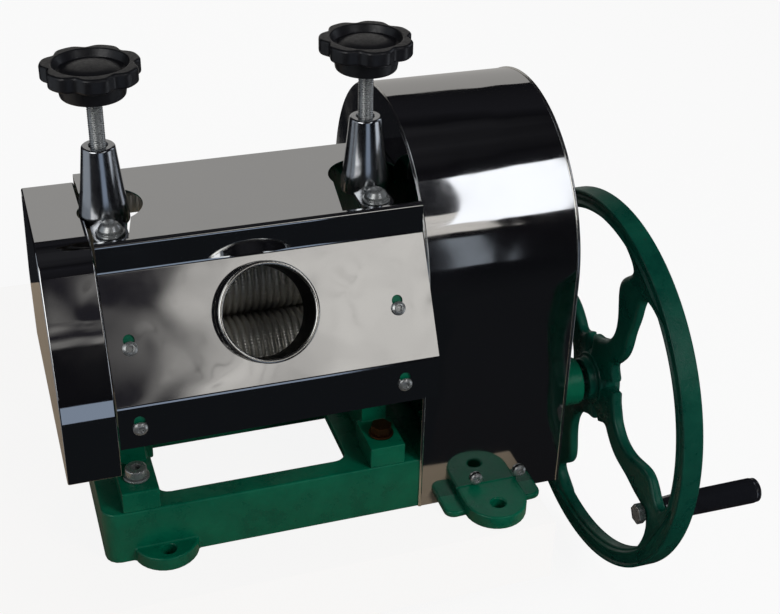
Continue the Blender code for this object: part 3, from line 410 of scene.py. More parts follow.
print("covers")
sheet = {"wall": 1.2, "bendTop": 3.0, "bendPanel": 5.0, "bendFoot": 6.0, "halfTop": 62.0, "topLip": 23.5,
         "bulgeTop": 175.0, "edge": 30}
openings = {"tube": 38.3, "tubeDown": 43.8, "sleeve": 29, "notchFront": -57, "screwDown": 56,
            "stripHeight": 156, "outletLift": 4, "outletHigh": 58}
keyhole = {"narrow": 3.3, "wide": 4.3, "rise": 6.2}
coverLow, coverHigh = boxOf("main_cover")
bulge, coverTop = coverHigh[1], coverHigh[2]
panelTop = coverTop - sheet["topLip"]
slant = atan2(bulge - sheet["halfTop"], panelTop - sheet["bulgeTop"])
half = [(-bulge, coverLow[2], 0), (-bulge, sheet["bulgeTop"], sheet["bendFoot"]),
        (-sheet["halfTop"], panelTop, sheet["bendPanel"]), (-sheet["halfTop"], coverTop, sheet["bendTop"])]
path = softProfile(half + [(-y, z, r) for y, z, r in reversed(half)], 8)
mainCover = meshFrom("main_cover_sheet", [sheetAlongX(path, coverLow[0], coverHigh[0], sheet["wall"])])
panelUp = np.array((0, sin(slant), cos(slant)))
panelOut = np.array((0, -cos(slant), sin(slant)))
panelAxes = ((1, 0, 0), tuple(panelUp), tuple(panelOut))
panelEdge = np.array((0, -sheet["halfTop"], panelTop)) * mm


def onPanel(x, down):  # point on the front slanted panel, mm down from its upper edge
    return panelEdge + np.array((x * mm, 0, 0)) - panelUp * down * mm


def keyholeOutline():  # narrow round slot for the screw's shank, wide round hole above it
    narrow, wide, rise = keyhole["narrow"], keyhole["wide"], keyhole["rise"]
    start = atan2(-sqrt(wide ** 2 - narrow ** 2), narrow)
    return (arc((0, rise), (wide, wide), start, pi - start, 24)
            + arc((0, 0), (narrow, narrow), pi, tau, 12))


frameX = {side: centreOf(side + "_side_frame")[0] for side in ("left", "right")}
tubeMiddle = onPanel(centreOf("feed_tube")[0], openings["tubeDown"])
cuts = [prism(ringOf(openings["tube"], 96), panelAxes, tubeMiddle, -20, 20)]
screwSeats = {}
for side, x in frameX.items():
    cuts.append(prism(ringOf(openings["sleeve"], 80), upward, (x * mm, 0, coverTop * mm), -8, 5))
    # a notch leads from the sleeve's hole to the front edge and out at the cover's nearer end
    front, left, right = openings["notchFront"], coverLow[0] - 5, coverHigh[0] + 5
    notch = {"left": [(left, front), (x + 9.5, front), (x + 21.5, 0), (left, 0)],
             "right": [(x - 35, front), (right, front), (right, 0), (x - 27, 0)]}[side]
    cuts.append(prism(notch, upward, (0, 0, coverTop * mm), -6, 5))
for side, x in frameX.items():
    screwSeats["panel_screw_" + side] = (onPanel(x, openings["screwDown"]), panelAxes)
    screwSeats["strip_screw_" + side] = (np.array((x, -bulge, openings["stripHeight"])) * mm, forward)
cuts += [prism(keyholeOutline(), axes, seat, -6, 6) for seat, axes in screwSeats.values()]
outletX = (frameX["left"] + 26, -26)
outlet = [(outletX[0], sheet["halfTop"]), (outletX[1], sheet["halfTop"]), (outletX[1], bulge + 20),
          (outletX[0], bulge + 20)]
outletBase = (sheet["bulgeTop"] + openings["outletLift"]) * mm
cuts.append(prism(outlet, upward, (0, 0, outletBase), 0, openings["outletHigh"]))
cutAway(mainCover, cuts)
dress(mainCover, coverSteel, "frame", ("main_cover",), sheet["edge"])

endShape = {"frontTop": 54, "backTop": 58, "topBend": 34, "footBend": 60, "faceBend": 240, "crown": 3.0,
            "edge": 1.4, "relief": 20.5}
endLow, endHigh = boxOf("left_end_cover")
endBulge, endTop, endWide = endHigh[1], endHigh[2], endHigh[0] - endLow[0]
slope = np.array((endBulge - endShape["frontTop"], endTop - sheet["bulgeTop"]))
bow = np.array((slope[1], slope[0])) / np.hypot(*slope) * endShape["crown"]
middle = ((-endBulge - endShape["frontTop"]) / 2 - bow[0], (sheet["bulgeTop"] + endTop) / 2 + bow[1] * 0.4)
endPath = softProfile([
    (-endBulge, endLow[2], 0), (-endBulge, sheet["bulgeTop"], endShape["footBend"]),
    (*middle, endShape["faceBend"]), (-endShape["frontTop"], endTop, endShape["topBend"]),
    (endShape["backTop"], endTop, 6), (endBulge, sheet["bulgeTop"], 20), (endBulge, endLow[2], 0)], 14)
endCorner = (endLow[0] * mm, 0, 0)
endCover = softened(meshFrom("left_end_cover_sheet", [prism(endPath, sideways, endCorner, 0, endWide)]),
                    endShape["edge"], 4)
endInside = offsetPath(endPath, sheet["wall"])
endInside[[0, -1], 1] -= 5
endHollow = prism(endInside, sideways, endCorner, sheet["wall"], endWide + 5)
relief = prism(ringOf(endShape["relief"], 48), upward, (frameX["left"] * mm, 0, coverTop * mm), -16, 5)
cutAway(endCover, [endHollow, relief])
dress(endCover, coverSteel, "frame", ("left_end_cover",), sheet["edge"])

case = {"sheet": 1.5, "bead": 0.7, "earSlot": (62, 118), "earSlotTop": 14, "screwHole": 3.2,
        "screws": (80, 120), "screwHeight": 20, "rearHole": 16, "layHole": 13, "crankHole": 21.5}
hem = {"radius": 1.5, "sides": 14}
caseLow, caseHigh = boxOf("gear_cover")
caseR = (caseHigh[1] - caseLow[1]) / 2
caseY, caseZ = (caseHigh[1] + caseLow[1]) / 2, caseHigh[2] - caseR
baseTop = boxOf("base_casting")[1][2]
crank, lay, rear = (centreOf(node) for node in ("crank_shaft", "layshaft", "rear_roller"))


def archPath(radius, foot, steps=96):
    return ([(caseY - radius, foot)] + arc((caseY, caseZ), (radius, radius), pi, 0, steps)
            + [(caseY + radius, foot)])


def hemAlong(name, x):
    # tube of the hem's radius along the arch: centre on the arch, ring in the plane across it
    centre = np.array(archPath(caseR - hem["radius"], caseLow[2]))
    out = np.array([(-1, 0)] + arc((0, 0), (1, 1), pi, 0, 96) + [(1, 0)])
    b = np.linspace(0, tau, hem["sides"], endpoint=False)[None, :]
    y = centre[:, :1] + out[:, :1] * hem["radius"] * np.cos(b)
    z = centre[:, 1:] + out[:, 1:] * hem["radius"] * np.cos(b)
    pts = np.stack([x + hem["radius"] * np.sin(b) + 0 * y, y, z], -1) * mm
    return meshFrom(name, [(pts, False, True, True)])


band = sheetAlongX(archPath(caseR - case["bead"], caseLow[2]), caseLow[0] + 1, caseHigh[0] - 1, case["sheet"])
gearCase = meshFrom("gear_case_band", [band])
slotLeft, slotRight = case["earSlot"]
earSlot = [(slotLeft, -5), (slotRight, -5), (slotRight, case["earSlotTop"]), (slotLeft, case["earSlotTop"])]
skirtSeats = [np.array((x, caseLow[1], case["screwHeight"])) * mm for x in case["screws"]]
cutAway(gearCase, [prism(earSlot, forward, (0, face * mm, 0), -8, 8) for face in (caseLow[1], caseHigh[1])]
        + [prism(ringOf(case["screwHole"], 24), forward, seat, -6, 6) for seat in skirtSeats])
dress(gearCase, caseSteel, "frame", ("gear_cover",), sheet["edge"])
for side, x0, foot, holes in (
        ("left", caseLow[0], baseTop + 0.3, ((rear, case["rearHole"]), (lay, case["layHole"]))),
        ("right", caseHigh[0] - case["sheet"], caseLow[2], ((crank, case["crankHole"]),))):
    origin = (x0 * mm, 0, 0)
    plate = meshFrom("gear_case_" + side, [prism(archPath(caseR, foot), sideways, origin, 0, case["sheet"])])
    cutAway(softened(plate, 0.5, 3), [prism(ringOf(r, 48, (p[1], p[2])), sideways, origin, -3, 4)
                                      for p, r in holes])
    dress(plate, caseSteel, "frame", (), sheet["edge"])
for side, x in (("left", caseLow[0] + hem["radius"]), ("right", caseHigh[0] - hem["radius"])):
    dress(hemAlong("gear_case_hem_" + side, x), hemSteel, "frame", (), 40)


print("tube and rollers")
tube = {"radius": 38.0, "wall": 2.4, "out": 15.6, "inside": 28.0, "lip": 1.0, "rimOut": 17.0, "rimWall": 3.4,
        "rimHigh": 3.4, "liner": 0.4}
r0, r1, inside, lip = tube["radius"], tube["radius"] - tube["wall"], -tube["inside"], tube["lip"]
rimIn, rimTop = r0 - tube["rimWall"], tube["rimOut"]
rimFoot, bore = rimTop - tube["rimHigh"], r1 - 0.15
linerIn, linerTop = bore - tube["liner"], rimTop - 4
for name, steel, replacing, sides, steps, profile in (
        ("feed_tube_pipe", coverSteel, ("feed_tube",), 128, 5,
         [(r0, 0, 0), (r0, tube["out"], lip), (r1, tube["out"], lip), (r1, inside, lip), (r0, inside, lip),
          (r0, 0.01, 0)]),
        ("feed_tube_rim", hemSteel, (), 128, 6,
         [(r0, rimFoot, 0), (r0, rimTop, 1.5), (rimIn, rimTop, 1.5), (rimIn, rimFoot, 1.2),
          (r0 - 1, rimFoot, 0), (r0, rimFoot + 0.01, 0)]),
        # a thin near-black liner in the bore: painted shade
        ("feed_tube_bore_shade_liner", tubeBoreShade, (), 96, 2,
         [(bore, inside + 0.5, 0), (bore, linerTop, 0), (linerIn, linerTop, 0), (linerIn, inside + 0.5, 0),
          (bore, inside + 0.51, 0)])):
    piece = meshFrom(name, [lathe(softProfile(profile, steps), tubeMiddle, panelAxes, sides)])
    dress(piece, steel, "frame", replacing)

# mm between rings and between teeth, and how deep they are
roller = {"pitch": 5.4, "groove": 2.2, "serration": 2.6, "tooth": 0.55, "endGap": 11.6, "journal": 12}


def grooved(node):
    # radius = drum - groove depth * rounded V of x - tooth depth * rounded V of angle
    low, high = boxOf(node)
    y, z = (low[1] + high[1]) / 2, (low[2] + high[2]) / 2
    drum = (high[1] - low[1]) / 2
    left, right = frameX["left"] + roller["endGap"], -roller["endGap"]
    teeth = round(tau * drum / roller["serration"])
    a = np.linspace(0, tau, teeth * 4, endpoint=False)
    count = int((right - left) / roller["pitch"])
    x = np.linspace(left, right, count * 6 + 1)
    land = (np.abs(np.sin(pi * (x - left) / (right - left) * count)) ** 0.6)[:, None]
    saw = 1 - np.abs(np.cos(teeth * a / 2))[None, :] ** 2
    radius = drum - roller["groove"] * (1 - land) - roller["tooth"] * saw * land
    body = np.stack([np.broadcast_to(x[:, None], radius.shape), y + radius * np.cos(a),
                     z + radius * np.sin(a)], -1)
    ends = [np.broadcast_to(np.array((x[i], y, z)), (1, len(a), 3)) for i in (0, -1)]
    grid = np.concatenate([ends[0], body, ends[1]]) * mm
    neck = roller["journal"]
    journal = softProfile([(0, high[0], 0), (neck, high[0], 1), (neck, right - 1, 0)], 3)
    journal += softProfile([(neck, left + 1, 0), (neck, low[0], 1), (0, low[0], 0)], 3)
    shaft = lathe(journal, (0, y * mm, z * mm), sideways, 48)
    return meshFrom(node + "_grooved", [(grid, False, True, False), shaft])


for node in ("top_roller", "front_roller", "rear_roller"):
    dress(grooved(node), rollerSteel, bodyOfNode[node], (node,), 50)


print("pressure screws")
knob = {"lobes": 7, "radius": 36.0, "scallop": 4.2, "rim": 12.5, "collar": 23.5, "collarHigh": 13.5,
        "dish": 27.5, "dip": 6.5, "crown": 1.8, "turned": 0.2}
thread = {"outer": 6.0, "pitch": 1.75, "depth": 0.85}
sleeve = {"bore": 6.3, "tip": 12.4, "waist": 16.2, "foot": 19, "lugHalf": 13, "lugFront": 33, "lugRound": 12.5,
          "lugHigh": 3.2}
domeBolt = {"washer": 11, "washerHigh": 1.8, "head": 9.2, "rise": 9.6, "shank": 5, "seat": 3.5}
knobTop = boxOf("pressure_knob_right")[1][2]


def starKnob(side, x):
    # radius = ring radius - lobe share * scallop(angle): full on the rim, none on collar and dish
    top, rim = knobTop, knobTop - knob["rim"]
    reach, collar, dish, foot = knob["radius"], knob["collar"], knob["dish"], rim - knob["collarHigh"]
    section = np.array(softProfile([
        (0, top - knob["crown"], 0), (dish - 12, top - 3.4, 18), (dish - 5.5, top - knob["dip"], 3),
        (dish - 3, top - knob["dip"], 1), (dish, top - 0.6, 1.5), (reach, top - 0.6, 2.2), (reach, rim, 2.2),
        (collar + 2, rim - 0.5, 1.5), (collar, foot, 2.5), (9, foot, 1), (9, rim - 10, 0), (0, rim - 10, 0)], 6))
    share = np.clip((section[:, 0] - dish - 1) / (reach - dish - 3), 0, 1) ** 1.2
    a = np.linspace(0, tau, knob["lobes"] * 32, endpoint=False)
    dip = (0.5 - 0.5 * np.cos(knob["lobes"] * (a - knob["turned"]))) ** 2.4
    radius = section[:, :1] - knob["scallop"] * share[:, None] * dip[None, :]
    height = np.broadcast_to(section[:, 1:], radius.shape)
    pts = np.stack([x + radius * np.cos(a), radius * np.sin(a), height], -1)
    return meshFrom("pressure_knob_" + side + "_star", [(pts * mm, False, True, False)])


def threaded(name, x, low, high):
    # radius = outer - depth * triangle wave of (height / pitch - angle / full turn)
    a = np.linspace(0, tau, 40, endpoint=False)
    z = np.linspace(low, high, int((high - low) / thread["pitch"] * 8) + 1)
    phase = (z[:, None] / thread["pitch"] - a[None, :] / tau) % 1
    radius = thread["outer"] - thread["depth"] * (1 - np.abs(2 * phase - 1)) ** 0.9
    radius[[0, -1]] -= 0.6
    body = np.stack([x + radius * np.cos(a), radius * np.sin(a), np.broadcast_to(z[:, None], radius.shape)], -1)
    ends = [np.broadcast_to(np.array((x, 0, h)), (1, len(a), 3)) for h in (low, high)]
    return meshFrom(name, [(np.concatenate([ends[0], body, ends[1]]) * mm, False, True, False)])


for side, x in frameX.items():
    body = bodyOfNode["pressure_knob_" + side]
    dress(starKnob(side, x), phenolic, body, ("pressure_knob_" + side,), 60)
    low, high = boxOf("pressure_stud_" + side)
    dress(threaded("pressure_stud_" + side + "_thread", x, low[2], high[2]), zincPlate, body,
          ("pressure_stud_" + side,), 80)
    low, high = boxOf("screw_sleeve_" + side)
    base, tip = low[2], high[2]
    cone = softProfile([
        (6.6, tip - 1.2, 0), (7.2, tip, 0.8), (sleeve["tip"], tip, 1.8), (sleeve["waist"], base + 26, 60),
        (sleeve["foot"] - 0.2, base + 9, 14), (sleeve["foot"], base, 0.8), (sleeve["bore"], base, 0.5),
        (sleeve["bore"], tip - 1.3, 0)], 8)
    wide = sleeve["lugHalf"]
    lug = arc((x, -sleeve["lugFront"]), (wide, sleeve["lugRound"]), pi, tau, 20) + [(x + wide, 0), (x - wide, 0)]
    dress(meshFrom("screw_sleeve_" + side + "_cone", [
        lathe(cone, (x * mm, 0, 0), upward, 128), prism(lug, upward, (0, 0, base * mm), 0, sleeve["lugHigh"])]),
        coneSteel, "frame", ("screw_sleeve_" + side,), 40)
    low, high = boxOf("dome_bolt_" + side)
    seat, rise, head = base + domeBolt["seat"], domeBolt["rise"], domeBolt["head"]
    washer, shank = domeBolt["washer"], domeBolt["shank"]
    dome = softProfile([
        (0, seat + rise, 0), (5.5, seat + rise - 0.4, 5), (head - 0.4, seat + 4.6, 3.5), (head, seat + 2, 0.5),
        (washer, seat + domeBolt["washerHigh"], 0.8), (washer, seat, 0.6), (shank, seat, 0.4),
        (shank, low[2], 0.6), (0, low[2], 0)], 6)
    middle = (x * mm, (low[1] + high[1]) / 2 * mm, 0)
    dress(meshFrom("dome_bolt_" + side + "_cap", [lathe(dome, middle, upward, 64)]), zincPlate, "frame",
          ("dome_bolt_" + side,), 40)


print("handwheel")
wheel = {"rimWidth": 18.0, "spokes": 4, "firstSpoke": radians(-26), "waist": 11.4, "web": 10.5, "sway": 8.0,
         "shoulder": 110, "root": 16, "bore": 9.3, "boss": 19, "ring": 24, "drum": 26.5}
wheelLow, wheelHigh = boxOf("handwheel")
wheelR = (wheelHigh[1] - wheelLow[1]) / 2
wheelX, wheelY, wheelZ = wheelHigh[0] - 11.0, crank[1], crank[2]
wheelMiddle = (0, wheelY * mm, wheelZ * mm)


def rimGrid():
    # section: a flat web inwards, a bead, a shallow channel and an outer lip, carried round the crank's axis
    a = np.linspace(0, tau, 224, endpoint=False)[:, None]
    out, half = wheelR, wheel["rimWidth"] / 2
    section = np.array(softProfile([
        (out - 17, 0, 0), (out - 17, -5, 2), (out - 14.5, -6, 1.2), (out - 13.5, -8.5, 1), (out - 12, -8.5, 1),
        (out - 10, -6.5, 2), (out - 7, -7.2, 6), (out - 3.5, -6.5, 2), (out - 2.5, -half, 1), (out, -half, 1.4),
        (out, half, 1.6), (out - 3, half, 1.5), (out - 5, 6.5, 2), (out - 12, 6.5, 2), (out - 14, 5, 1.5),
        (out - 17, 5, 2), (out - 17, 0.01, 0)], 4)).T
    radius, x = section[0][None, :], wheelX + section[1][None, :] + 0 * a
    return np.stack([x, wheelY + radius * np.cos(a), wheelZ + radius * np.sin(a)], -1) * mm, True, True, False


def rounded(wave, power):  # cosine or sine of a superellipse
    return np.sign(wave) * np.abs(wave) ** (2 / power)


def spokeGrid(index):
    # half width = waist + hub flare exp(-(r - 34) / 6) + shoulder at r = 110 + rim flare exp((r - 147) / 4);
    # the middle line sways by a sine, so that the spoke is a slow S
    r = np.concatenate([np.linspace(wheel["root"], 40, 10), np.linspace(42, 126, 40), np.linspace(127, 156, 28)])
    w = (wheel["waist"] + 11 * np.exp(-(r - 34) / 6) + 7 * np.exp(-((r - wheel["shoulder"]) / 18) ** 2)
         + 26 * np.exp((r - 147) / 4))
    w = np.minimum(w, np.where(r < 40, r * 0.72 + 2, 50))
    fade = np.clip((r - 36) / 12, 0, 1) * np.clip((156 - r) / 12, 0, 1)
    sway = wheel["sway"] * np.sin(tau * (r - 40) / 105) * fade
    t = wheel["web"] / 2 + 1.6 * np.exp(-(r - 26) / 8) + 1.5 * np.exp((r - 150) / 6)
    b = np.linspace(0, tau, 40, endpoint=False)
    across = w[:, None] * rounded(np.cos(b), 5.0) + sway[:, None]
    x = wheelX + t[:, None] * rounded(np.sin(b), 3.4)
    a = pi - (wheel["firstSpoke"] + index * tau / wheel["spokes"])
    radial = np.sqrt(np.clip(r[:, None] ** 2 - np.clip(np.abs(across) - 20, 0, None) ** 2, 1, None))
    y = wheelY + radial * cos(a) - across * sin(a)
    z = wheelZ + radial * sin(a) + across * cos(a)
    return np.stack([x, y, z], -1) * mm, False, True, True


hubFar, hubNear = wheelX + 11, wheelLow[0]
bossR, ringR, drumR = wheel["boss"], wheel["ring"], wheel["drum"]
hub = softProfile([
    (wheel["bore"], hubNear, 0), (bossR, hubNear, 1.5), (bossR, hubNear + 7, 2), (ringR, hubNear + 7, 1.8),
    (ringR, hubNear + 10, 2), (drumR, wheelX - 5, 3), (drumR, wheelX + 5, 3), (ringR, hubFar - 2, 2),
    (ringR, hubFar, 1.8), (wheel["bore"], hubFar, 0.6), (wheel["bore"], hubNear + 0.1, 0)], 5)
wheelPiece = meshFrom("handwheel_cast", [rimGrid()] + [spokeGrid(i) for i in range(wheel["spokes"])]
                      + [lathe(hub, wheelMiddle, sideways, 96)])
dress(wheelPiece, wheelShadedEnamel, "crank_unit", ("handwheel",), 50)

gripShape = {"bore": 5.3, "swell": 12, "capLong": 5, "socket": 80}
gripLow, gripHigh = boxOf("handle_grip")
gripR = (gripHigh[1] - gripLow[1]) / 2
g0, g1, gripBore = gripLow[0], gripHigh[0], gripShape["bore"]
capStart = g1 - gripShape["capLong"]
grip = softProfile([
    (gripBore, g0, 0), (gripR - 1.2, g0, 1.2), (gripR - 0.4, g0 + gripShape["swell"], 20), (gripR, g1 - 14, 20),
    (gripR, capStart, 1), (gripR - 0.7, capStart + 0.6, 0.3), (gripR - 0.4, capStart + 1.6, 0.3),
    (gripR - 0.6, g1, 1.6), (6, g1, 0.6), (gripBore, g1 - 1, 0.4), (0, g1 - 1, 0)], 5)
grip += [(0, g0 + gripShape["socket"]), (gripBore, g0 + gripShape["socket"]), (gripBore, g0 + 0.05)]
gripMiddle = (0, *(centreOf("handle_grip")[1:] * mm))
dress(meshFrom("handle_grip_turned", [lathe(grip, gripMiddle, sideways, 64)]), gripPlastic,
      bodyOfNode["handle_grip"], ("handle_grip",), 40)


print("fasteners")
panHead = {"head": 5.5, "high": 3.3, "shank": 2.9, "long": 8, "socket": 2.3}
socketHead = {"head": 8.8, "deep": 6.6, "shank": 5, "socket": 3.6, "socketDeep": 4}
lowNut = {"flats": 9.5, "high": 3.5, "edge": 0.6}
rusty = ("frame_bolt_right_front", "frame_bolt_right_back", "frame_washer_right_front",
         "frame_washer_right_back")

skirtScrews = {f"skirt_screw_{i + 1}": (seat, forward) for i, seat in enumerate(skirtSeats)}
for node, (seat, axes) in {**screwSeats, **skirtScrews}.items():
    # shallow dome with a round socket, on a plain shank
    head, high, shank, socket = (panHead[key] for key in ("head", "high", "shank", "socket"))
    dome = softProfile([(0, 1.2, 0), (socket, 1.2, 0), (socket, high, 0.3), (3.6, high - 0.2, 1.0),
                        (head, 1.9, 1.2), (head, 0.3, 0.2), (shank, 0.3, 0), (shank, -panHead["long"], 0.4),
                        (0, -panHead["long"], 0)], 4)
    dress(meshFrom(node + "_socket", [lathe(dome, seat, axes, 36)]), zincPlate, "frame", (node,), 35)

for end in ("front", "back"):
    node = "frame_bolt_left_" + end
    (x, y, _), (_, _, foot), (_, _, top) = centreOf(node), *boxOf(node)
    head, shank, socket = (socketHead[key] for key in ("head", "shank", "socket"))
    bottom, under = top - socketHead["socketDeep"], top - socketHead["deep"]
    profile = softProfile([(0, bottom, 0), (socket, bottom, 0), (socket, top + 0.6, 0.4),
                           (head - 0.2, top + 0.6, 1.4), (head, under, 0.5), (shank, under - 0.3, 0.3),
                           (shank, foot, 0.5), (0, foot, 0)], 4)
    dress(meshFrom(node + "_head", [lathe(profile, (x * mm, y * mm, 0), upward, 48)]), zincPlate, "frame",
          (node,), 35)

nutStart = boxOf("wheel_nut")[0][0]
nutPiece = meshFrom("wheel_nut_low", [prism(ringOf(lowNut["flats"], 6), sideways,
                                            (nutStart * mm, *wheelMiddle[1:]), 0, lowNut["high"])])
dress(softened(nutPiece, lowNut["edge"], 2), wheelShadedEnamel, bodyOfNode["wheel_nut"], ("wheel_nut",))

for node in ([f"frame_bolt_right_{e}" for e in ("front", "back")]
             + [f"frame_washer_{s}_{e}" for s in ("left", "right") for e in ("front", "back")]
             + ["bracket_bolt_1", "bracket_bolt_2", "handle_nut", "handle_bolt"]):
    piece = softened(copyOf(node, node + "_worn"), 0.5, 2)
    dress(piece, rustySteel if node in rusty else zincPlate, bodyOfNode[node], (node,))

# the crank shaft ends just past its low nut
shaftPiece = cutAway(copyOf("crank_shaft", "crank_shaft_turned"),
                     [prism(ringOf(40, 24), sideways, wheelMiddle, nutStart + 5, 400)])
dress(softened(shaftPiece, 0.6, 2), shaftSteel, bodyOfNode["crank_shaft"], ("crank_shaft",))
tray = softened(copyOf("juice_tray", "juice_tray_sheet"), 0.3, 2)
dress(tray, coverSteel, "frame", ("juice_tray",))

finishes = {"zinc": zincPlate, "bronze": bronze, "shaft_steel": shaftSteel, "gear_steel": gearSteel,
            "polished_steel": coverSteel, "roller_steel": rollerSteel, "chrome": chromePlate,
            "green_enamel": enamel, "black_plastic": phenolic}
slotOf = {s["node"]: s["material_slot"] for s in frame["record"]["subparts"]}
for node, thing in frame["nodes"].items():
    for slot in thing.material_slots:
        slot.material = finishes[slotOf[node]]


print("studio")


def surfaceOf(tree, output):
    tree.links.new(output, tree.nodes["Material Output"].inputs["Surface"])


def slab(name, low, high, colour, seen=0.9):
    # the eye sees plain white with a little of the surface's own shading left, so shadows stay
    made, tree, shader, place = newMaterial(name, colour, 0.0, 0.7)
    path = addNode(tree, "ShaderNodeLightPath")
    share = addNode(tree, "ShaderNodeMath", {"operation": "MULTIPLY", 1: seen},
                    {0: path.outputs["Is Camera Ray"]})
    white = addNode(tree, "ShaderNodeEmission", {"Color": "#ffffff", "Strength": 1.0})
    mix = addNode(tree, "ShaderNodeMixShader", None,
                  {0: share.outputs[0], 1: shader.outputs[0], 2: white.outputs[0]})
    surfaceOf(tree, mix.outputs[0])
    corners = np.array([(low[0], low[1]), (high[0], low[1]), (high[0], high[1]), (low[0], high[1])])
    piece = meshFrom(name, [prism(corners / mm, upward, (0, 0, 0), low[2] / mm, high[2] / mm)])
    piece.data.materials.append(made)
    piece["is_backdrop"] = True
    return piece


floorZ = cadLow[2] - 0.02
floor = slab("pale floor", (-6, -6, floorZ - 0.02), (6, 6, floorZ), "#e9e7e4")
floor.visible_glossy = False
slab("bench", (-0.8, -0.129, -0.06), (0.134, 0.4, -0.0003), "#b9a58c")

# the room that the polished steel mirrors: dark all round, a little lighter high up
room = {"radius": 3.5, "middle": 0.45,
        "stops": [(0.0, "#1b1512"), (0.25, "#1a1b1e"), (0.45, "#131417"), (0.6, "#121215"),
                  (0.8, "#18181b"), (0.9, "#202024"), (0.94, "#131316"), (1.0, "#2a2a2d")]}
wallStreaks = {"scale": 3.4, "lines": 12.0, "span": (-0.1, 1.15), "dark": "#26252a", "light": "#f0ece6",
               "line": "#2a2828"}


def roomDome():
    # point = radius * (cos e sin a, -cos e cos a, sin e)
    e = np.linspace(-pi / 2, pi / 2, 33)[:, None]
    a = np.linspace(0, tau, 64, endpoint=False)[None, :]
    pts = room["radius"] * np.stack([np.cos(e) * np.sin(a), -np.cos(e) * np.cos(a),
                                     np.sin(e) + 0 * a], -1)
    dome = meshFrom("room", [(pts, False, True, False)])
    made, tree, shader, place = newMaterial("room walls", "#000000", 0.0, 1.0)
    split = addNode(tree, "ShaderNodeSeparateXYZ", None, {0: place})
    haze = addNode(tree, "ShaderNodeTexNoise", {"Scale": 0.9, "Detail": 3.0}, {"Vector": place})
    lift = addNode(tree, "ShaderNodeMath", {"operation": "MULTIPLY_ADD", 1: 0.9},
                   {0: haze.outputs["Fac"], 2: split.outputs["Z"]})
    level = addNode(tree, "ShaderNodeMapRange", {"From Min": room["middle"] - room["radius"],
                                                 "From Max": room["middle"] + room["radius"]},
                    {"Value": lift.outputs[0]})
    ramp = addNode(tree, "ShaderNodeValToRGB", {"stops": room["stops"]}, {"Fac": level.outputs[0]})
    lamp = addNode(tree, "ShaderNodeEmission", {"Strength": 1.0}, {"Color": ramp.outputs["Color"]})
    surfaceOf(tree, lamp.outputs[0])
    dome.data.materials.append(made)
    return dome


def sky(az, el, distance=2.6):  # az degrees from the front towards the wheel, el degrees up
    a, e = radians(az), radians(el)
    return np.array((cos(e) * sin(a), -cos(e) * cos(a), sin(e))) * distance


def patch(az, el, wide, high):  # corners of an upright patch: its middle, its width and height in degrees
    return [(az + i * wide / 2, el + j * high / 2) for j in (-1, 1) for i in (-1, 1)]


def streaked(tree, place):
    # dark contour lines of a soft noise, over a tone that grows from left to right
    swirl = addNode(tree, "ShaderNodeTexNoise", {"Scale": wallStreaks["scale"], "Detail": 1.5,
                                                 "Distortion": 1.6}, {"Vector": place}).outputs["Fac"]
    split = addNode(tree, "ShaderNodeSeparateXYZ", None, {0: place})
    across = addNode(tree, "ShaderNodeMapRange", {"From Min": wallStreaks["span"][0],
                                                  "From Max": wallStreaks["span"][1]},
                     {"Value": split.outputs["X"]})
    level = addNode(tree, "ShaderNodeMath", {"operation": "MULTIPLY_ADD", 1: 0.9},
                    {0: swirl, 2: across.outputs["Result"]})
    stops = [(0.45, wallStreaks["dark"]), (1.35 / 1.4, wallStreaks["light"])]
    tone = addNode(tree, "ShaderNodeValToRGB", {"stops": stops}, {"Fac": level.outputs[0]})
    steps = addNode(tree, "ShaderNodeMath", {"operation": "MULTIPLY", 1: wallStreaks["lines"]}, {0: swirl})
    fold = addNode(tree, "ShaderNodeMath", {"operation": "PINGPONG", 1: 0.5}, {0: steps.outputs[0]})
    line = addNode(tree, "ShaderNodeMapRange", {"From Min": 0.0, "From Max": 0.09, "To Min": 0.6,
                                                "To Max": 0.0}, {"Value": fold.outputs[0]})
    mix = addNode(tree, "ShaderNodeMix", {"data_type": "RGBA", 7: wallStreaks["line"]},
                  {0: line.outputs["Result"], 6: tone.outputs["Color"]})
    return mix.outputs[2]


def card(name, corners, colour, strength):
    # glowing patch between four places in the room: left low, right low, left high, right high
    share = np.linspace(0, 1, 9)[:, None, None]
    rise = np.linspace(0, 1, 9)[None, :, None]
    places = [sky(*c) for c in corners]
    pts = ((places[0] * (1 - share) + places[1] * share) * (1 - rise)
           + (places[2] * (1 - share) + places[3] * share) * rise)
    piece = meshFrom(name, [(pts, False, False, False)])
    made, tree, shader, place = newMaterial(name, colour, 0.0, 1.0)
    lamp = addNode(tree, "ShaderNodeEmission", {"Color": colour, "Strength": strength})
    if name == "lit wall":
        tree.links.new(streaked(tree, place), lamp.inputs["Color"])
    surfaceOf(tree, lamp.outputs[0])
    piece.data.materials.append(made)
    return piece


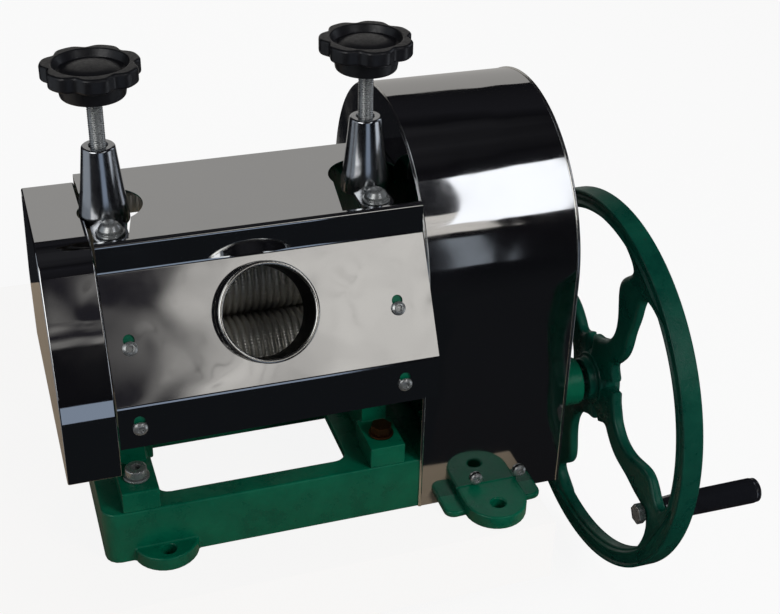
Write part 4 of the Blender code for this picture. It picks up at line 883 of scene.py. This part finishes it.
mirrored = [roomDome(),
            card("window high", [(20.6, 26.6), (29.4, 29.4), (36.4, 59.2), (51.5, 58.2)], "#f6f9ff", 1.9),
            card("back wall", patch(172, 8, 44, 54), "#adaba8", 1.0),
            card("lit wall", patch(10, 31, 30, 15), "#9d9893", 1.0),
            card("doorway", patch(21, 10, 3, 20), "#9ba3ad", 0.8),
            card("cool window", patch(1, -4, 24, 24), "#aebdd3", 0.7),
            card("floor by the front", patch(7, -27, 30, 18), "#17191c", 1.0),
            card("soft light left", patch(-52, 34, 34, 38), "#ffffff", 2.2),
            card("pale wall left", patch(-95, 5, 50, 70), "#a4abb4", 0.9),
            card("pale wall right", patch(66, -10, 24, 40), "#dfe5ee", 1.1),
            card("side window right", patch(104, 24, 16, 40), "#dfe6f2", 1.0)]
for thing in mirrored:
    thing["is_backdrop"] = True
    thing.visible_camera = False
    thing.visible_diffuse = False
    thing.visible_shadow = False
    thing.visible_transmission = False
    thing.visible_volume_scatter = False

world = bpy.data.worlds.new("studio")
bpy.context.scene.world = world
world.use_nodes = True
eyeRay = addNode(world.node_tree, "ShaderNodeLightPath").outputs["Is Camera Ray"]
shade = addNode(world.node_tree, "ShaderNodeMix", {"data_type": "RGBA", 6: "#84878c", 7: "#ffffff"},
                {0: eyeRay})
world.node_tree.links.new(shade.outputs[2], world.node_tree.nodes["Background"].inputs["Color"])


def softLamp(name, where, power, size, colour="#ffffff"):
    data = bpy.data.lights.new(name, "AREA")
    data.energy, data.size, data.color = power, size, linear(colour)[:3]
    lamp = linked(bpy.data.objects.new(name, data))
    aim = Vector((-0.03, 0, 0.15)) - Vector(where)
    lamp.matrix_world = Matrix.Translation(where) @ aim.to_track_quat("-Z", "Y").to_matrix().to_4x4()
    lamp.visible_glossy = False


softLamp("key", (1.25, -1.85, 1.55), 34, 0.9)
softLamp("fill", (-1.3, -1.7, 1.5), 5, 1.5, "#f2f5ff")
softLamp("back", (0.2, 1.8, 1.8), 16, 1.4)

# place in metres, angles in degrees, lens in mm on a sensor 36 mm wide
eye = {"place": (-0.2977, -0.9359, 0.7554), "turn": -18.98, "down": 31.17, "roll": 1.53, "lens": 63.341538}
camera = linked(bpy.data.objects.new("camera", bpy.data.cameras.new("camera")))
bpy.context.scene.camera = camera
camera.data.sensor_width, camera.data.lens = 36, eye["lens"]
camera.data.clip_start, camera.data.clip_end = 0.01, 60
turn, down, roll = radians(eye["turn"]), radians(eye["down"]), radians(eye["roll"])
ahead = Vector((-sin(turn) * cos(down), cos(turn) * cos(down), -sin(down)))
level = Vector((cos(turn), sin(turn), 0))
upright = level.cross(ahead)
right = level * cos(roll) + upright * sin(roll)
above = upright * cos(roll) - level * sin(roll)
facing = Matrix((right, above, -ahead)).transposed()
camera.matrix_world = Matrix.Translation(eye["place"]) @ facing.to_4x4()

bpy.context.scene.view_settings.view_transform = "Standard"

low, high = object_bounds()
print("done")
